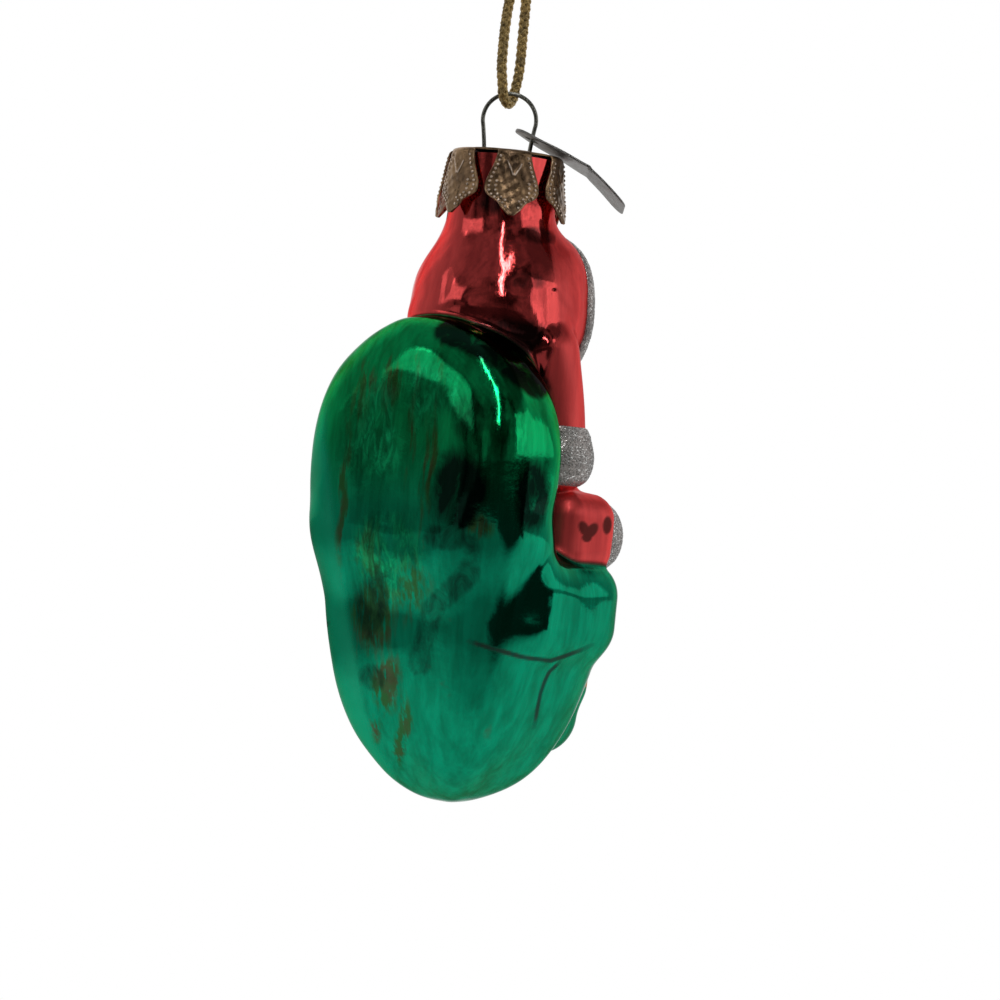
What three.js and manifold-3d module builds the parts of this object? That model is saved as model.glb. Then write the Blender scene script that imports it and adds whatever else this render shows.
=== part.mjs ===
// A blown-glass Santa in a wing armchair, hung by its crown cap from a cord.
// Millimetres, +Z up. The origin is the hang point, in the crotch under the knot
// of the cord, on the axis of the cap. The figure faces -Y.
import * as THREE from 'three';
import { mergeVertices } from 'three/addons/utils/BufferGeometryUtils.js';
import Module from 'manifold-3d';

const wasm = await Module();
wasm.setup();

// Clearances
const seatGap = 0.3;          // between pieces that rest on each other
const rimSeat = 0.35;         // glass rim to the underside of the cap

// Cord
const cordDiameter = 1.5;
const cordSides = 8;
const cordSteps = 40;
const ringDrop = 17.3;        // hang point down to the wire at the top of the ring
const knotRadius = 1.55;      // middle line of the knot's wraps
const knotTail = 6.5;         // free ends above the knot

// Ring of spring wire with two legs
const wireDiameter = 0.58;
const ringDiameter = 7.3;     // middle line of the wire
const ringLift = 4.7;         // centre of the ring above the cap
const ringOpenAngle = 105;    // degrees from the top to where a leg leaves the ring
const legSpacing = 6.2;       // middle to middle, where the legs pass the cap
const legLength = 14;         // below the top of the cap
const legTipGap = 0.35;       // leg tip to the bore of the neck

// Crown cap
const capDiameter = 16.2;
const capSheet = 0.35;
const capFold = 0.75;         // outer radius where a petal turns down
const capSides = 40;
const wireHoleGap = 0.25;     // round the wire, in the cap
const petalCount = 6;
const petalLength = 9.1;      // from the top of the cap to the tip
const petalFlare = 1.1;       // the tips stand out by this much
const petalTurn = 9;          // degrees, the petals against the ring
const petalRoot = 0.6;        // a petal starts this far inside the edge of the disc
const petalHalfWidths = [     // share of the length, half width
  [0.08, 2.45], [0.27, 2.9], [0.39, 3.36], [0.52, 3.75], [0.63, 3.75],
  [0.7, 3.4], [0.76, 2.6], [0.81, 1.8], [0.9, 1.25], [1, 0.35],
];

// Tag of thin sheet
const tagLength = 18.6;
const tagWidth = 8;
const tagSheet = 0.35;
const tagHole = 2.0;          // diameter
const tagHoleInset = 2.6;     // hole centre from the end
const tagCrease = 8.5;        // hole centre to the bend
const tagBend = 17;           // degrees
const tagTwist = -6;          // degrees about its length, from the hole to the far end
const tagHoleHeight = 2.4;    // hole centre above the cap
const tagRimGap = 0.3;        // tag to the rim it leans on

// The whole top assembly is turned about Z against the figure
const ringHeading = -140;     // degrees

// Glass
const wall = 1;
const neckDiameter = 14.6;
const neckRise = 8.3;         // glass rim above the crown of the hood
const neckBlend = 2.6;

// Glitter coats
const coatThickness = 0.5;
const coatCrown = 0.2;        // a coat is this much thicker in its middle

// The chair: heights from the lowest point of the glass
const chair = {
  halfWidth: 18.9, backFront: 2.6, backRear: 17.9, rearRound: 8, frontRound: 4.2,
  archStart: 46.5, archRise: 19, backFoot: 29, footRound: 9, lowTaper: 2.6,
  baseInset: 1.7, baseHalfDepth: 15.6, baseMiddle: 0, baseHeight: 34,
  baseSquareness: 4, baseFullness: 2.15, seatHeight: 35, seatRound: 8, seatFillet: 6.5,
  armHalfWidth: 5, armInset: 0.3, armHalfLength: 10.6, armAt: -2, armTop: 34.2,
  armHalfHeight: 6.6, armRound: 4.6, armFillet: 2.5,
};

// The figure: centre and half size of each form, given for its left side
const hood = { at: [0, -1.4, 67.4], size: [12.2, 12.4, 12.5] };
const hoodFront = { at: [0, -5.4, 72], size: [10, 8.4, 8.1] };
const hoodOpening = { at: [0, -17, 67.4], size: [7.8, 8.2, 8.8] };
const collar = { at: [0, 1, 61.5], size: [11.2, 9.6, 5] };
const face = { at: [0, -8, 67.2], size: [6.7, 6.3, 8] };
const nose = { at: [0, -14.3, 66.6], size: [1.7, 1.7, 1.6] };
const cheek = { at: [3, -12.9, 65.6], size: [2.4, 1.9, 1.9] };
const brow = { from: [1.3, -13.5, 70.2], to: [4.4, -12.4, 70.4], radius: [0.9, 0.7] };
const moustache = { from: [0.7, -14, 63.9], to: [4.8, -12.6, 62.4], radius: [1.6, 0.9] };
const beard = { at: [0, -9.8, 57.6], size: [7, 5.2, 8.6] };
const torso = { at: [0, -2.4, 52], size: [11, 9.6, 14] };
const belly = { at: [0, -8.4, 45.5], size: [9, 7, 7.5] };
const lap = { at: [0, -8.6, 36.4], size: [8, 8.6, 6] };
const shoulder = { from: [9.4, -1, 62.4], to: [11.4, -3, 50.5], radius: [4.5, 3.7] };
const cuff = { at: [11.4, -3.1, 48], size: [4.3, 4.4, 4.9] };
const mitten = { at: [12.5, -6.3, 38.1], half: [3.9, 5.6, 5.6], round: 3.3 };
const thigh = { from: [5.6, -4, 38.4], to: [7.8, -12.8, 37.8], radius: [6, 6.1] };
const shin = { from: [6.9, -12.9, 33], to: [6.6, -12.7, 17], radius: [4.6, 4.4] };
const boot = { at: [6, -11.6, 12.4], size: [4.3, 5.2, 5.2] };

// Where the glitter lies on the figure
const trim = { halfWidth: 8, halfHeight: 9.2, middle: 67.8, depth: 8.7, round: 1.6, band: 2 };
const trimEnds = { from: -48, to: 228, rows: 34 };
const cuffCoat = { low: 44.4, high: 52.4, from: -38, to: 4, rows: 9 };
const hemCoat = { low: 33.6, high: 42.8, from: -137, to: -43, rows: 22 };

// Facets of the glass
const columns = 56;
const frontCrowding = 0.42;   // columns crowd together in front, where the face is
const lowRows = 11;
const bodyRows = 17;
const headRows = 18;
const neckRows = 3;
const farthest = 30;          // nothing of the figure lies beyond this from the axis
const beltHeight = 20;        // rays fan out from here downward, and run level above

const headHeight = beard.at[2];
const hoodCrown = hood.at[2] + hood.size[2];
const glassHeight = hoodCrown + neckRise;
const ringRadius = ringDiameter / 2;
const wireRadius = wireDiameter / 2;
const cordRadius = cordDiameter / 2;
const ringCentreZ = -ringDrop - ringRadius;
const capTopZ = ringCentreZ - ringLift;
const glassBottomZ = capTopZ - capSheet - rimSeat - glassHeight;
const capRadius = capDiameter / 2;
const capDiscRadius = capRadius - capFold;
const neckRadius = neckDiameter / 2;
const degrees = Math.PI / 180;

// Solids

function solidVolume(positions, index) {
  let volume = 0;
  for (let i = 0; i < index.length; i += 3) {
    const [a, b, c] = [index[i] * 3, index[i + 1] * 3, index[i + 2] * 3];
    volume += positions[a] * (positions[b + 1] * positions[c + 2] - positions[b + 2] * positions[c + 1]);
    volume += positions[a + 1] * (positions[b + 2] * positions[c] - positions[b] * positions[c + 2]);
    volume += positions[a + 2] * (positions[b] * positions[c + 1] - positions[b + 1] * positions[c]);
  }
  return volume / 6;
}

function outward(positions, index) {
  const turned = index.slice();
  if (solidVolume(positions, index) < 0) {
    for (let i = 0; i < turned.length; i += 3) {
      [turned[i], turned[i + 1]] = [turned[i + 1], turned[i]];
    }
  }
  return turned;
}

function makeGeometry(positions, index) {
  const geometry = new THREE.BufferGeometry();
  geometry.setAttribute('position', new THREE.Float32BufferAttribute(positions, 3));
  geometry.setIndex(Array.from(outward(positions, index)));
  geometry.computeVertexNormals();
  return geometry;
}

function toSolid(geometry) {
  const bare = geometry.clone();
  bare.deleteAttribute('normal');
  bare.deleteAttribute('uv');
  const merged = mergeVertices(bare, 1e-4);
  const positions = merged.attributes.position.array;
  const index = outward(positions, Array.from(merged.index.array));
  return new wasm.Manifold(new wasm.Mesh({
    numProp: 3, vertProperties: new Float32Array(positions), triVerts: new Uint32Array(index),
  }));
}

function fromSolid(solid) {
  const mesh = solid.getMesh();
  const positions = [];
  for (let i = 0; i < mesh.numVert; i++) {
    for (let k = 0; k < 3; k++) positions.push(mesh.vertProperties[i * mesh.numProp + k]);
  }
  return makeGeometry(positions, Array.from(mesh.triVerts));
}

// A closed plate between two grids of points, rows by columns
function plate(top, bottom) {
  const rows = top.length;
  const cols = top[0].length;
  const positions = [...top.flat(), ...bottom.flat()].flat();
  const index = [];
  const at = (side, i, j) => side * rows * cols + i * cols + j;
  for (let i = 0; i < rows - 1; i++) {
    for (let j = 0; j < cols - 1; j++) {
      index.push(at(0, i, j), at(0, i, j + 1), at(0, i + 1, j + 1));
      index.push(at(0, i, j), at(0, i + 1, j + 1), at(0, i + 1, j));
      index.push(at(1, i, j), at(1, i + 1, j + 1), at(1, i, j + 1));
      index.push(at(1, i, j), at(1, i + 1, j), at(1, i + 1, j + 1));
    }
    for (const [j, flip] of [[0, false], [cols - 1, true]]) {
      const quad = [at(0, i, j), at(0, i + 1, j), at(1, i + 1, j), at(1, i, j)];
      if (flip) quad.reverse();
      index.push(quad[0], quad[1], quad[2], quad[0], quad[2], quad[3]);
    }
  }
  for (const [i, flip] of [[0, true], [rows - 1, false]]) {
    for (let j = 0; j < cols - 1; j++) {
      const quad = [at(0, i, j), at(0, i, j + 1), at(1, i, j + 1), at(1, i, j)];
      if (flip) quad.reverse();
      index.push(quad[0], quad[1], quad[2], quad[0], quad[2], quad[3]);
    }
  }
  return makeGeometry(positions, index);
}

function roundSection(radius, sides) {
  const points = [];
  for (let i = 0; i < sides; i++) {
    const turn = (i / sides) * 2 * Math.PI;
    points.push(new THREE.Vector2(radius * Math.cos(turn), radius * Math.sin(turn)));
  }
  return new THREE.Shape(points);
}

function tubeAlong(points, radius, sides, steps) {
  const curve = new THREE.CatmullRomCurve3(points.map((p) => new THREE.Vector3(...p)), false, 'centripetal');
  return new THREE.ExtrudeGeometry(roundSection(radius, sides), { extrudePath: curve, steps });
}

// Distances to the forms of the glass, negative inside

function ellipsoidDistance(p, { at, size }) {
  const q = [0, 1, 2].map((k) => (p[k] - at[k]) / size[k]);
  const scaled = Math.hypot(...q);
  const slope = Math.hypot(q[0] / size[0], q[1] / size[1], q[2] / size[2]);
  return slope > 0 ? (scaled * (scaled - 1)) / slope : -Math.min(...size);
}

function limbDistance(p, { from, to, radius }) {
  const along = [0, 1, 2].map((k) => to[k] - from[k]);
  const offset = [0, 1, 2].map((k) => p[k] - from[k]);
  const dot = along[0] * offset[0] + along[1] * offset[1] + along[2] * offset[2];
  const length2 = along[0] ** 2 + along[1] ** 2 + along[2] ** 2;
  const t = Math.min(1, Math.max(0, dot / length2));
  const gap = Math.hypot(offset[0] - t * along[0], offset[1] - t * along[1], offset[2] - t * along[2]);
  return gap - (radius[0] + (radius[1] - radius[0]) * t);
}

// Union with a fillet of about this radius
function join(a, b, radius) {
  const h = Math.max(radius - Math.abs(a - b), 0) / radius;
  return Math.min(a, b) - (h * h * radius) / 4;
}

// Intersection with an edge rounded by about this radius
function meet(a, b, radius) {
  return -join(-a, -b, radius);
}

function roundedBoxDistance(p, half, round) {
  const q = p.map((value, k) => Math.abs(value) - half[k] + round);
  return Math.hypot(...q.map((value) => Math.max(value, 0))) + Math.min(Math.max(...q), 0) - round;
}

// A flat-sided mitten, resting on the arm of the chair
function mittenDistance(p) {
  return roundedBoxDistance(p.map((value, k) => value - mitten.at[k]), mitten.half, mitten.round);
}

// The back has an arched top and bolster-round edges, softer behind than in front.
function chairBackDistance([x, y, z]) {
  const rise = Math.max(z - chair.archStart, 0);
  const drop = Math.max(chair.archStart - z, 0) / (chair.archStart - chair.backFoot);
  const taper = chair.lowTaper * drop * drop;
  const reach = Math.hypot(x / chair.halfWidth, rise / chair.archRise);
  const below = Math.max(chair.backFoot + chair.footRound - z, 0);
  const outline = rise > 0
    ? (reach - 1) * Math.min(chair.halfWidth, chair.archRise)
    : Math.hypot(Math.max(x + taper - chair.halfWidth + chair.footRound, 0), below) - chair.footRound;
  const middle = (chair.backFront + chair.backRear) / 2;
  const half = (chair.backRear - chair.backFront) / 2;
  const share = Math.min(1, Math.max(0, (y - chair.backFront) / (2 * half)));
  const round = chair.frontRound + (chair.rearRound - chair.frontRound) * share;
  const side = outline + round;
  const depth = Math.abs(y + taper / 2 - middle) - half + round;
  return Math.hypot(Math.max(side, 0), Math.max(depth, 0)) + Math.min(Math.max(side, depth), 0) - round;
}

function chairBaseDistance([x, y, z]) {
  const n = chair.baseSquareness;
  const across = Math.abs(x / (chair.halfWidth - chair.baseInset)) ** n;
  const along = Math.abs((y - chair.baseMiddle) / chair.baseHalfDepth) ** n;
  const level = (across + along) ** (1 / n);
  const drop = Math.abs((z - chair.baseHeight) / chair.baseHeight);
  const fullness = chair.baseFullness;
  const reach = (level ** fullness + drop ** fullness) ** (1 / fullness);
  return meet((reach - 1) * chair.baseHalfDepth, z - chair.seatHeight, chair.seatRound);
}

function chairArmDistance([x, y, z]) {
  const half = [chair.armHalfWidth, chair.armHalfLength, chair.armHalfHeight];
  const middle = chair.halfWidth - chair.armInset - chair.armHalfWidth;
  const centre = [middle, chair.armAt, chair.armTop - chair.armHalfHeight];
  return roundedBoxDistance([x - centre[0], y - centre[1], z - centre[2]], half, chair.armRound);
}

function chairDistance(p) {
  const seat = join(chairBackDistance(p), chairBaseDistance(p), chair.seatFillet);
  return join(seat, chairArmDistance(p), chair.armFillet);
}

function trimDistance(p) {
  const reach = Math.hypot(p[0] / trim.halfWidth, (p[2] - trim.middle) / trim.halfHeight) - 1;
  return Math.hypot(reach * trim.halfWidth, p[1] + trim.depth) - trim.round;
}

function headDistance(p) {
  const cloth = join(ellipsoidDistance(p, hood), ellipsoidDistance(p, hoodFront), 1.5);
  const shell = Math.max(cloth, -ellipsoidDistance(p, hoodOpening));
  let d = join(ellipsoidDistance(p, face), ellipsoidDistance(p, cheek), 0.9);
  d = join(d, ellipsoidDistance(p, nose), 0.7);
  d = join(d, limbDistance(p, brow), 0.7);
  d = join(d, ellipsoidDistance(p, beard), 1);
  d = join(d, limbDistance(p, moustache), 0.5);
  return join(join(d, trimDistance(p), 0.5), shell, 1);
}

function coatDistance(p) {
  let d = join(ellipsoidDistance(p, torso), ellipsoidDistance(p, belly), 3);
  d = join(join(d, ellipsoidDistance(p, lap), 3), limbDistance(p, thigh), 2);
  d = join(d, limbDistance(p, shoulder), 1.6);
  d = join(d, ellipsoidDistance(p, collar), 1.2);
  return join(d, ellipsoidDistance(p, cuff), 0.6);
}

function santaDistance(p) {
  let d = join(coatDistance(p), limbDistance(p, shin), 1.4);
  d = join(d, ellipsoidDistance(p, boot), 1.6);
  d = join(d, mittenDistance(p), 0.6);
  d = join(d, headDistance(p), 1);
  const neck = Math.max(Math.hypot(p[0], p[1]) - neckRadius, hood.at[2] - p[2]);
  return join(d, neck, neckBlend);
}

function glassDistance(x, y, z) {
  const p = [Math.abs(x), y, z];
  return join(chairDistance(p), santaDistance(p), 1);
}

// How far the glass reaches from a point of the axis, along a direction
function reachOf(height, direction) {
  const value = (r) => glassDistance(r * direction[0], r * direction[1], height + r * direction[2]);
  const stride = 0.7;
  let inner = farthest;
  while (inner > stride && value(inner) > 0) inner -= stride;
  let outer = inner + stride;
  for (let i = 0; i < 18; i++) {
    const middle = (inner + outer) / 2;
    if (value(middle) > 0) outer = middle;
    else inner = middle;
  }
  return inner;
}

function levelReach(turn, height) {
  return reachOf(height, [Math.cos(turn), Math.sin(turn), 0]);
}

// Rows of rays from the lowest point up to the rim
function glassRays() {
  const rays = [];
  for (let i = 0; i < lowRows; i++) {
    rays.push({ height: beltHeight, tilt: (-90 + (90 * (i + 1)) / (lowRows + 1)) * degrees });
  }
  const levels = [beltHeight, headHeight, hoodCrown, glassHeight];
  [bodyRows, headRows, neckRows].forEach((count, k) => {
    for (let i = 0; i < count; i++) {
      rays.push({ height: levels[k] + ((levels[k + 1] - levels[k]) * i) / count, tilt: 0 });
    }
  });
  rays.push({ height: glassHeight, tilt: 0 });
  return rays;
}

function rayPoint(ray, turn, reach) {
  const level = Math.cos(ray.tilt) * reach;
  return [level * Math.cos(turn), level * Math.sin(turn), ray.height + Math.sin(ray.tilt) * reach];
}

const rays = glassRays();

function columnTurn(j) {
  const round = (j / columns) * 2 * Math.PI;
  return -Math.PI / 2 + round - frontCrowding * Math.sin(round);
}

const reaches = rays.map((ray) => {
  const row = [];
  for (let j = 0; j < columns; j++) {
    const turn = columnTurn(j);
    const level = Math.cos(ray.tilt);
    row.push(reachOf(ray.height, [level * Math.cos(turn), level * Math.sin(turn), Math.sin(ray.tilt)]));
  }
  return row;
});

function skinIndex(index, rowCount, colCount, start, pole) {
  for (let j = 0; j < colCount; j++) {
    const next = (j + 1) % colCount;
    index.push(pole, start + next, start + j);
    for (let i = 0; i < rowCount - 1; i++) {
      const [a, b] = [start + i * colCount, start + (i + 1) * colCount];
      index.push(a + j, a + next, b + next, a + j, b + next, b + j);
    }
  }
}

// The glass grown outward by a gap and filled, to cut what lies on it
function glassEnvelope(gap) {
  const positions = [[0, 0, -gap]];
  rays.forEach((ray, i) => {
    for (let j = 0; j < columns; j++) positions.push(rayPoint(ray, columnTurn(j), reaches[i][j] + gap));
  });
  positions.push([0, 0, glassHeight]);
  const index = [];
  skinIndex(index, rays.length, columns, 1, 0);
  const last = 1 + (rays.length - 1) * columns;
  for (let j = 0; j < columns; j++) index.push(last + j, last + ((j + 1) % columns), positions.length - 1);
  return makeGeometry(positions.flat(), index);
}

// The inner skin has half the columns and rows, and keeps the wall behind the nearest outer points.
function innerReach(row, column) {
  let least = Infinity;
  for (let i = Math.max(0, row - 2); i <= Math.min(rays.length - 1, row + 2); i++) {
    if (rays[i].tilt === 0 && rays[row].tilt !== 0 && i > lowRows) continue;
    for (let j = column - 2; j <= column + 2; j++) {
      least = Math.min(least, reaches[i][(j + columns) % columns]);
    }
  }
  return least - wall;
}

function makeGlassBody() {
  const positions = [[0, 0, 0]];
  rays.forEach((ray, i) => {
    for (let j = 0; j < columns; j++) positions.push(rayPoint(ray, columnTurn(j), reaches[i][j]));
  });
  const innerStart = positions.length + 1;
  positions.push([0, 0, wall]);
  const innerRows = [];
  for (let i = (rays.length - 1) % 2; i < rays.length; i += 2) innerRows.push(i);
  const half = columns / 2;
  for (const i of innerRows) {
    for (let j = 0; j < half; j++) {
      positions.push(rayPoint(rays[i], columnTurn(2 * j), innerReach(i, 2 * j)));
    }
  }
  const index = [];
  skinIndex(index, rays.length, columns, 1, 0);
  const inner = [];
  skinIndex(inner, innerRows.length, half, innerStart, innerStart - 1);
  for (let i = 0; i < inner.length; i += 3) index.push(inner[i], inner[i + 2], inner[i + 1]);
  const rimOut = 1 + (rays.length - 1) * columns;
  const rimIn = innerStart + (innerRows.length - 1) * half;
  for (let k = 0; k < half; k++) {
    const [o0, o1, o2] = [rimOut + 2 * k, rimOut + 2 * k + 1, rimOut + ((2 * k + 2) % columns)];
    const [i0, i1] = [rimIn + k, rimIn + ((k + 1) % half)];
    index.push(o0, o1, i0, o1, i1, i0, o1, o2, i1);
  }
  return makeGeometry(positions.flat(), index);
}

// Glitter coats

function coatSolid(place, rows) {
  const cols = 5;
  const deep = 3;
  const grid = (offset) => {
    const points = [];
    for (let i = 0; i < rows; i++) {
      const line = [];
      for (let j = 0; j < cols; j++) {
        const across = (2 * j) / (cols - 1) - 1;
        const { turn, height } = place(i / (rows - 1), across);
        const reach = levelReach(turn, height) + offset(across);
        line.push([reach * Math.cos(turn), reach * Math.sin(turn), height]);
      }
      points.push(line);
    }
    return points;
  };
  const outer = grid((across) => seatGap + coatThickness + coatCrown * (1 - across * across));
  const inner = grid(() => -deep);
  return fromSolid(toSolid(plate(outer, inner)).subtract(coatCutter));
}

function makeHoodTrim() {
  const place = (share, across) => {
    const a = (trimEnds.from + (trimEnds.to - trimEnds.from) * share) * degrees;
    const grow = 1 + (across * trim.band) / trim.halfWidth;
    const x = trim.halfWidth * grow * Math.cos(a);
    const height = trim.middle + trim.halfHeight * grow * Math.sin(a);
    return { turn: Math.atan2(-trim.depth, x), height };
  };
  return coatSolid(place, trimEnds.rows);
}

function bandPlace({ low, high, from, to }, mirrored) {
  return (share, across) => {
    const turn = (from + (to - from) * share) * degrees;
    const height = (low + high) / 2 + ((high - low) / 2) * across;
    return { turn: mirrored ? Math.PI - turn : turn, height };
  };
}

// Crown cap

// Middle line of the sheet from inside the disc, over the fold and down to the tip: radius, height,
// direction of the outer face in degrees from the level, and share of the petal's length
function petalProfile() {
  const bend = capFold - capSheet / 2;
  const foldSteps = 3;
  const profile = [{ r: capDiscRadius - petalRoot, z: -capSheet / 2, lean: 90, share: 0 }];
  for (let i = 0; i <= foldSteps; i++) {
    const lean = 90 - (90 * i) / foldSteps;
    const [c, sn] = [Math.cos(lean * degrees), Math.sin(lean * degrees)];
    profile.push({ r: capDiscRadius + bend * c, z: -capFold + bend * sn, lean, share: 0 });
  }
  for (const [share] of petalHalfWidths.slice(1)) {
    const r = capRadius - capSheet / 2 + petalFlare * share * share;
    profile.push({ r, z: -petalLength * share, lean: 0, share });
  }
  return profile;
}

function petalHalfWidth(share) {
  let [low, width] = petalHalfWidths[0];
  for (const [high, next] of petalHalfWidths) {
    if (share <= high) return share <= low ? width : width + ((next - width) * (share - low)) / (high - low);
    [low, width] = [high, next];
  }
  return width;
}

function makePetal(heading) {
  const cols = 4;
  const inset = capSheet * 0.1;
  const face = (offset) => petalProfile().map(({ r, z, lean, share }) => {
    const out = r + offset * Math.cos(lean * degrees);
    const height = z + offset * Math.sin(lean * degrees);
    return Array.from({ length: cols }, (_, j) => {
      const turn = heading * degrees + (((2 * j) / (cols - 1) - 1) * petalHalfWidth(share)) / capRadius;
      return [out * Math.cos(turn), out * Math.sin(turn), height];
    });
  });
  return plate(face(capSheet / 2 - inset), face(inset - capSheet / 2));
}

function makeCrownCap() {
  const disc = new THREE.CylinderGeometry(capDiscRadius, capDiscRadius, capSheet, capSides);
  let cap = toSolid(disc.rotateX(Math.PI / 2).translate(0, 0, -capSheet / 2));
  for (let i = 0; i < petalCount; i++) {
    cap = cap.add(toSolid(makePetal(petalTurn - 90 + (360 * i) / petalCount)));
  }
  for (const side of [-1, 1]) {
    const hole = new THREE.CylinderGeometry(wireRadius + wireHoleGap, wireRadius + wireHoleGap, 4, 14);
    hole.rotateX(Math.PI / 2).translate((side * legSpacing) / 2, 0, 0);
    cap = cap.subtract(toSolid(hole));
  }
  return fromSolid(cap);
}

// Ring: the arc, then a leg on each side through the cap and out to the neck's bore

function makeWireLoop() {
  const tip = neckRadius - wall - legTipGap - wireRadius;
  const leg = [
    [tip, 0, -legLength],
    [tip - (tip - legSpacing / 2) * 0.45, 0, -legLength * 0.5],
    [legSpacing / 2, 0, -2.2],
    [legSpacing / 2, 0, 0.3],
  ];
  const arc = [];
  const arcSteps = 12;
  for (let i = 0; i <= arcSteps; i++) {
    const turn = (ringOpenAngle - (2 * ringOpenAngle * i) / arcSteps) * degrees;
    arc.push([ringRadius * Math.sin(turn), 0, ringLift + ringRadius * Math.cos(turn)]);
  }
  const mirrored = leg.slice().reverse().map(([x, y, z]) => [-x, y, z]);
  return tubeAlong([...leg, ...arc, ...mirrored], wireRadius, 7, 64);
}

// Tag: a thin plate with round ends, bent past the rim that it leans on

function tagHalfWidth(along) {
  const fromHoleEnd = along + tagHoleInset;
  const fromFarEnd = tagLength - tagHoleInset - along;
  const holeRound = tagWidth * 0.5;
  const farRound = tagWidth * 0.3;
  const ease = (distance, round) => {
    const q = Math.min(1, Math.max(0, 1 - distance / round));
    return Math.sqrt(Math.max(0, 1 - q * q));
  };
  const holeEnd = tagWidth * 0.5 * (0.12 + 0.88 * ease(fromHoleEnd, holeRound));
  const farEnd = tagWidth * 0.5 * (0.6 + 0.4 * ease(fromFarEnd, farRound));
  return Math.min(holeEnd, farEnd);
}

function makeHangTag() {
  const far = tagLength - tagHoleInset;
  const stations = [];
  const endSteps = 5;
  for (let i = 0; i <= endSteps; i++) {
    stations.push(-tagHoleInset + tagWidth * 0.5 * (1 - Math.cos((i / endSteps) * 0.5 * Math.PI)));
  }
  stations.push(tagCrease * 0.6, tagCrease, tagCrease + 0.8, (tagCrease + far) / 2);
  for (let i = endSteps - 1; i >= 0; i--) {
    stations.push(far - tagWidth * 0.3 * (1 - Math.cos((i / endSteps) * 0.5 * Math.PI)));
  }
  const cols = 5;
  const face = (lift) => stations.map((along) => {
    const past = Math.max(0, along - tagCrease);
    const turn = past > 0.5 ? tagBend * degrees : 0;
    const x = along - past + past * Math.cos(turn) - lift * Math.sin(turn) * 0.5;
    const z = lift - past * Math.sin(turn);
    const half = tagHalfWidth(along);
    const twist = (tagTwist * degrees * Math.max(0, along)) / far;
    return Array.from({ length: cols }, (_, j) => {
      const across = ((2 * j) / (cols - 1) - 1) * half;
      return [x, across * Math.cos(twist), z + across * Math.sin(twist)];
    });
  });
  const hole = new THREE.CylinderGeometry(tagHole / 2, tagHole / 2, 4, 16).rotateX(Math.PI / 2);
  const body = toSolid(plate(face(tagSheet / 2), face(-tagSheet / 2)));
  return fromSolid(body.subtract(toSolid(hole)));
}

// The tag hangs on a leg of the ring and leans on the rounded rim of the cap, which gives its slope.
function tagPlace() {
  const open = ringOpenAngle * degrees;
  const legStart = [ringRadius * Math.sin(open), ringLift + ringRadius * Math.cos(open)];
  const x = legSpacing / 2 + ((legStart[0] - legSpacing / 2) * tagHoleHeight) / legStart[1];
  const z = capTopZ + tagHoleHeight;
  const toRim = [capRadius - capFold - x, capTopZ - capFold - z];
  const standOff = capFold + tagRimGap + tagSheet / 2;
  const slope = Math.atan2(toRim[1], toRim[0]) + Math.asin(standOff / Math.hypot(...toRim));
  return { x, z, slope };
}

// Cord: down in front, under the wire and up behind, ending in the knot

const cordPoints = [
  [-0.65, -0.75, -0.3], [-1.05, -1.1, -2.4], [-1.5, -1.6, -5.2], [-1.72, -2, -8.5],
  [-1.75, -2.3, -12], [-1.68, -2.4, -14.2], [-1.4, -2.3, -16.2], [-1.1, -1.5, -17.9],
  [-0.45, 0, -18.7],
  [0.15, 1.5, -17.9], [0.42, 2.3, -16.2], [0.68, 2.4, -14.2], [0.76, 2.3, -12],
  [0.75, 2, -8.5], [0.78, 1.6, -5.2], [0.74, 1.1, -2.4], [0.65, 0.75, -0.3],
];

function makeCordLoop() {
  return tubeAlong(cordPoints, cordRadius, cordSides, cordSteps);
}

// The knot: two short stubs, crossing wraps round a core, and two free ends
function makeKnot() {
  const stubs = [cordPoints[0], cordPoints[cordPoints.length - 1]];
  const middle = knotRadius + cordRadius;
  let knot = toSolid(new THREE.SphereGeometry(knotRadius * 1.05, 10, 8).translate(0, 0, middle));
  for (const [x, y] of stubs) {
    const stub = new THREE.CylinderGeometry(cordRadius, cordRadius, middle, cordSides);
    knot = knot.add(toSolid(stub.rotateX(Math.PI / 2).translate(x, y, middle / 2)));
  }
  const wraps = [[24, 10, middle - 0.75], [-22, -14, middle + 0.7], [68, 35, middle]];
  for (const [tiltX, tiltY, height] of wraps) {
    const wrap = new THREE.TorusGeometry(knotRadius * 1.02, cordRadius, 7, 14);
    wrap.rotateX(tiltX * degrees).rotateY(tiltY * degrees).translate(0, 0, height);
    knot = knot.add(toSolid(wrap));
  }
  for (const side of [-1, 1]) {
    const tail = [
      [side * 0.5, side * 0.4, middle + 0.5],
      [side * 0.8, side * 0.7, middle * 2 + 0.3],
      [side * 1.7, side * 1.1, middle * 2 + knotTail * 0.55],
      [side * 2.3, side * 1.2, middle * 2 + knotTail],
    ];
    knot = knot.add(toSolid(tubeAlong(tail, cordRadius * 0.94, cordSides, 8)));
  }
  return fromSolid(knot);
}

// Assembly

function piece(name, geometry, color, roughness, metalness) {
  const material = new THREE.MeshStandardMaterial({ color, roughness, metalness });
  const mesh = new THREE.Mesh(geometry, material);
  mesh.name = name;
  return mesh;
}

const coatCutter = toSolid(glassEnvelope(seatGap));
const glitter = (name, geometry) => piece(name, geometry, 0x9c9894, 0.7, 0.3);

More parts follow.
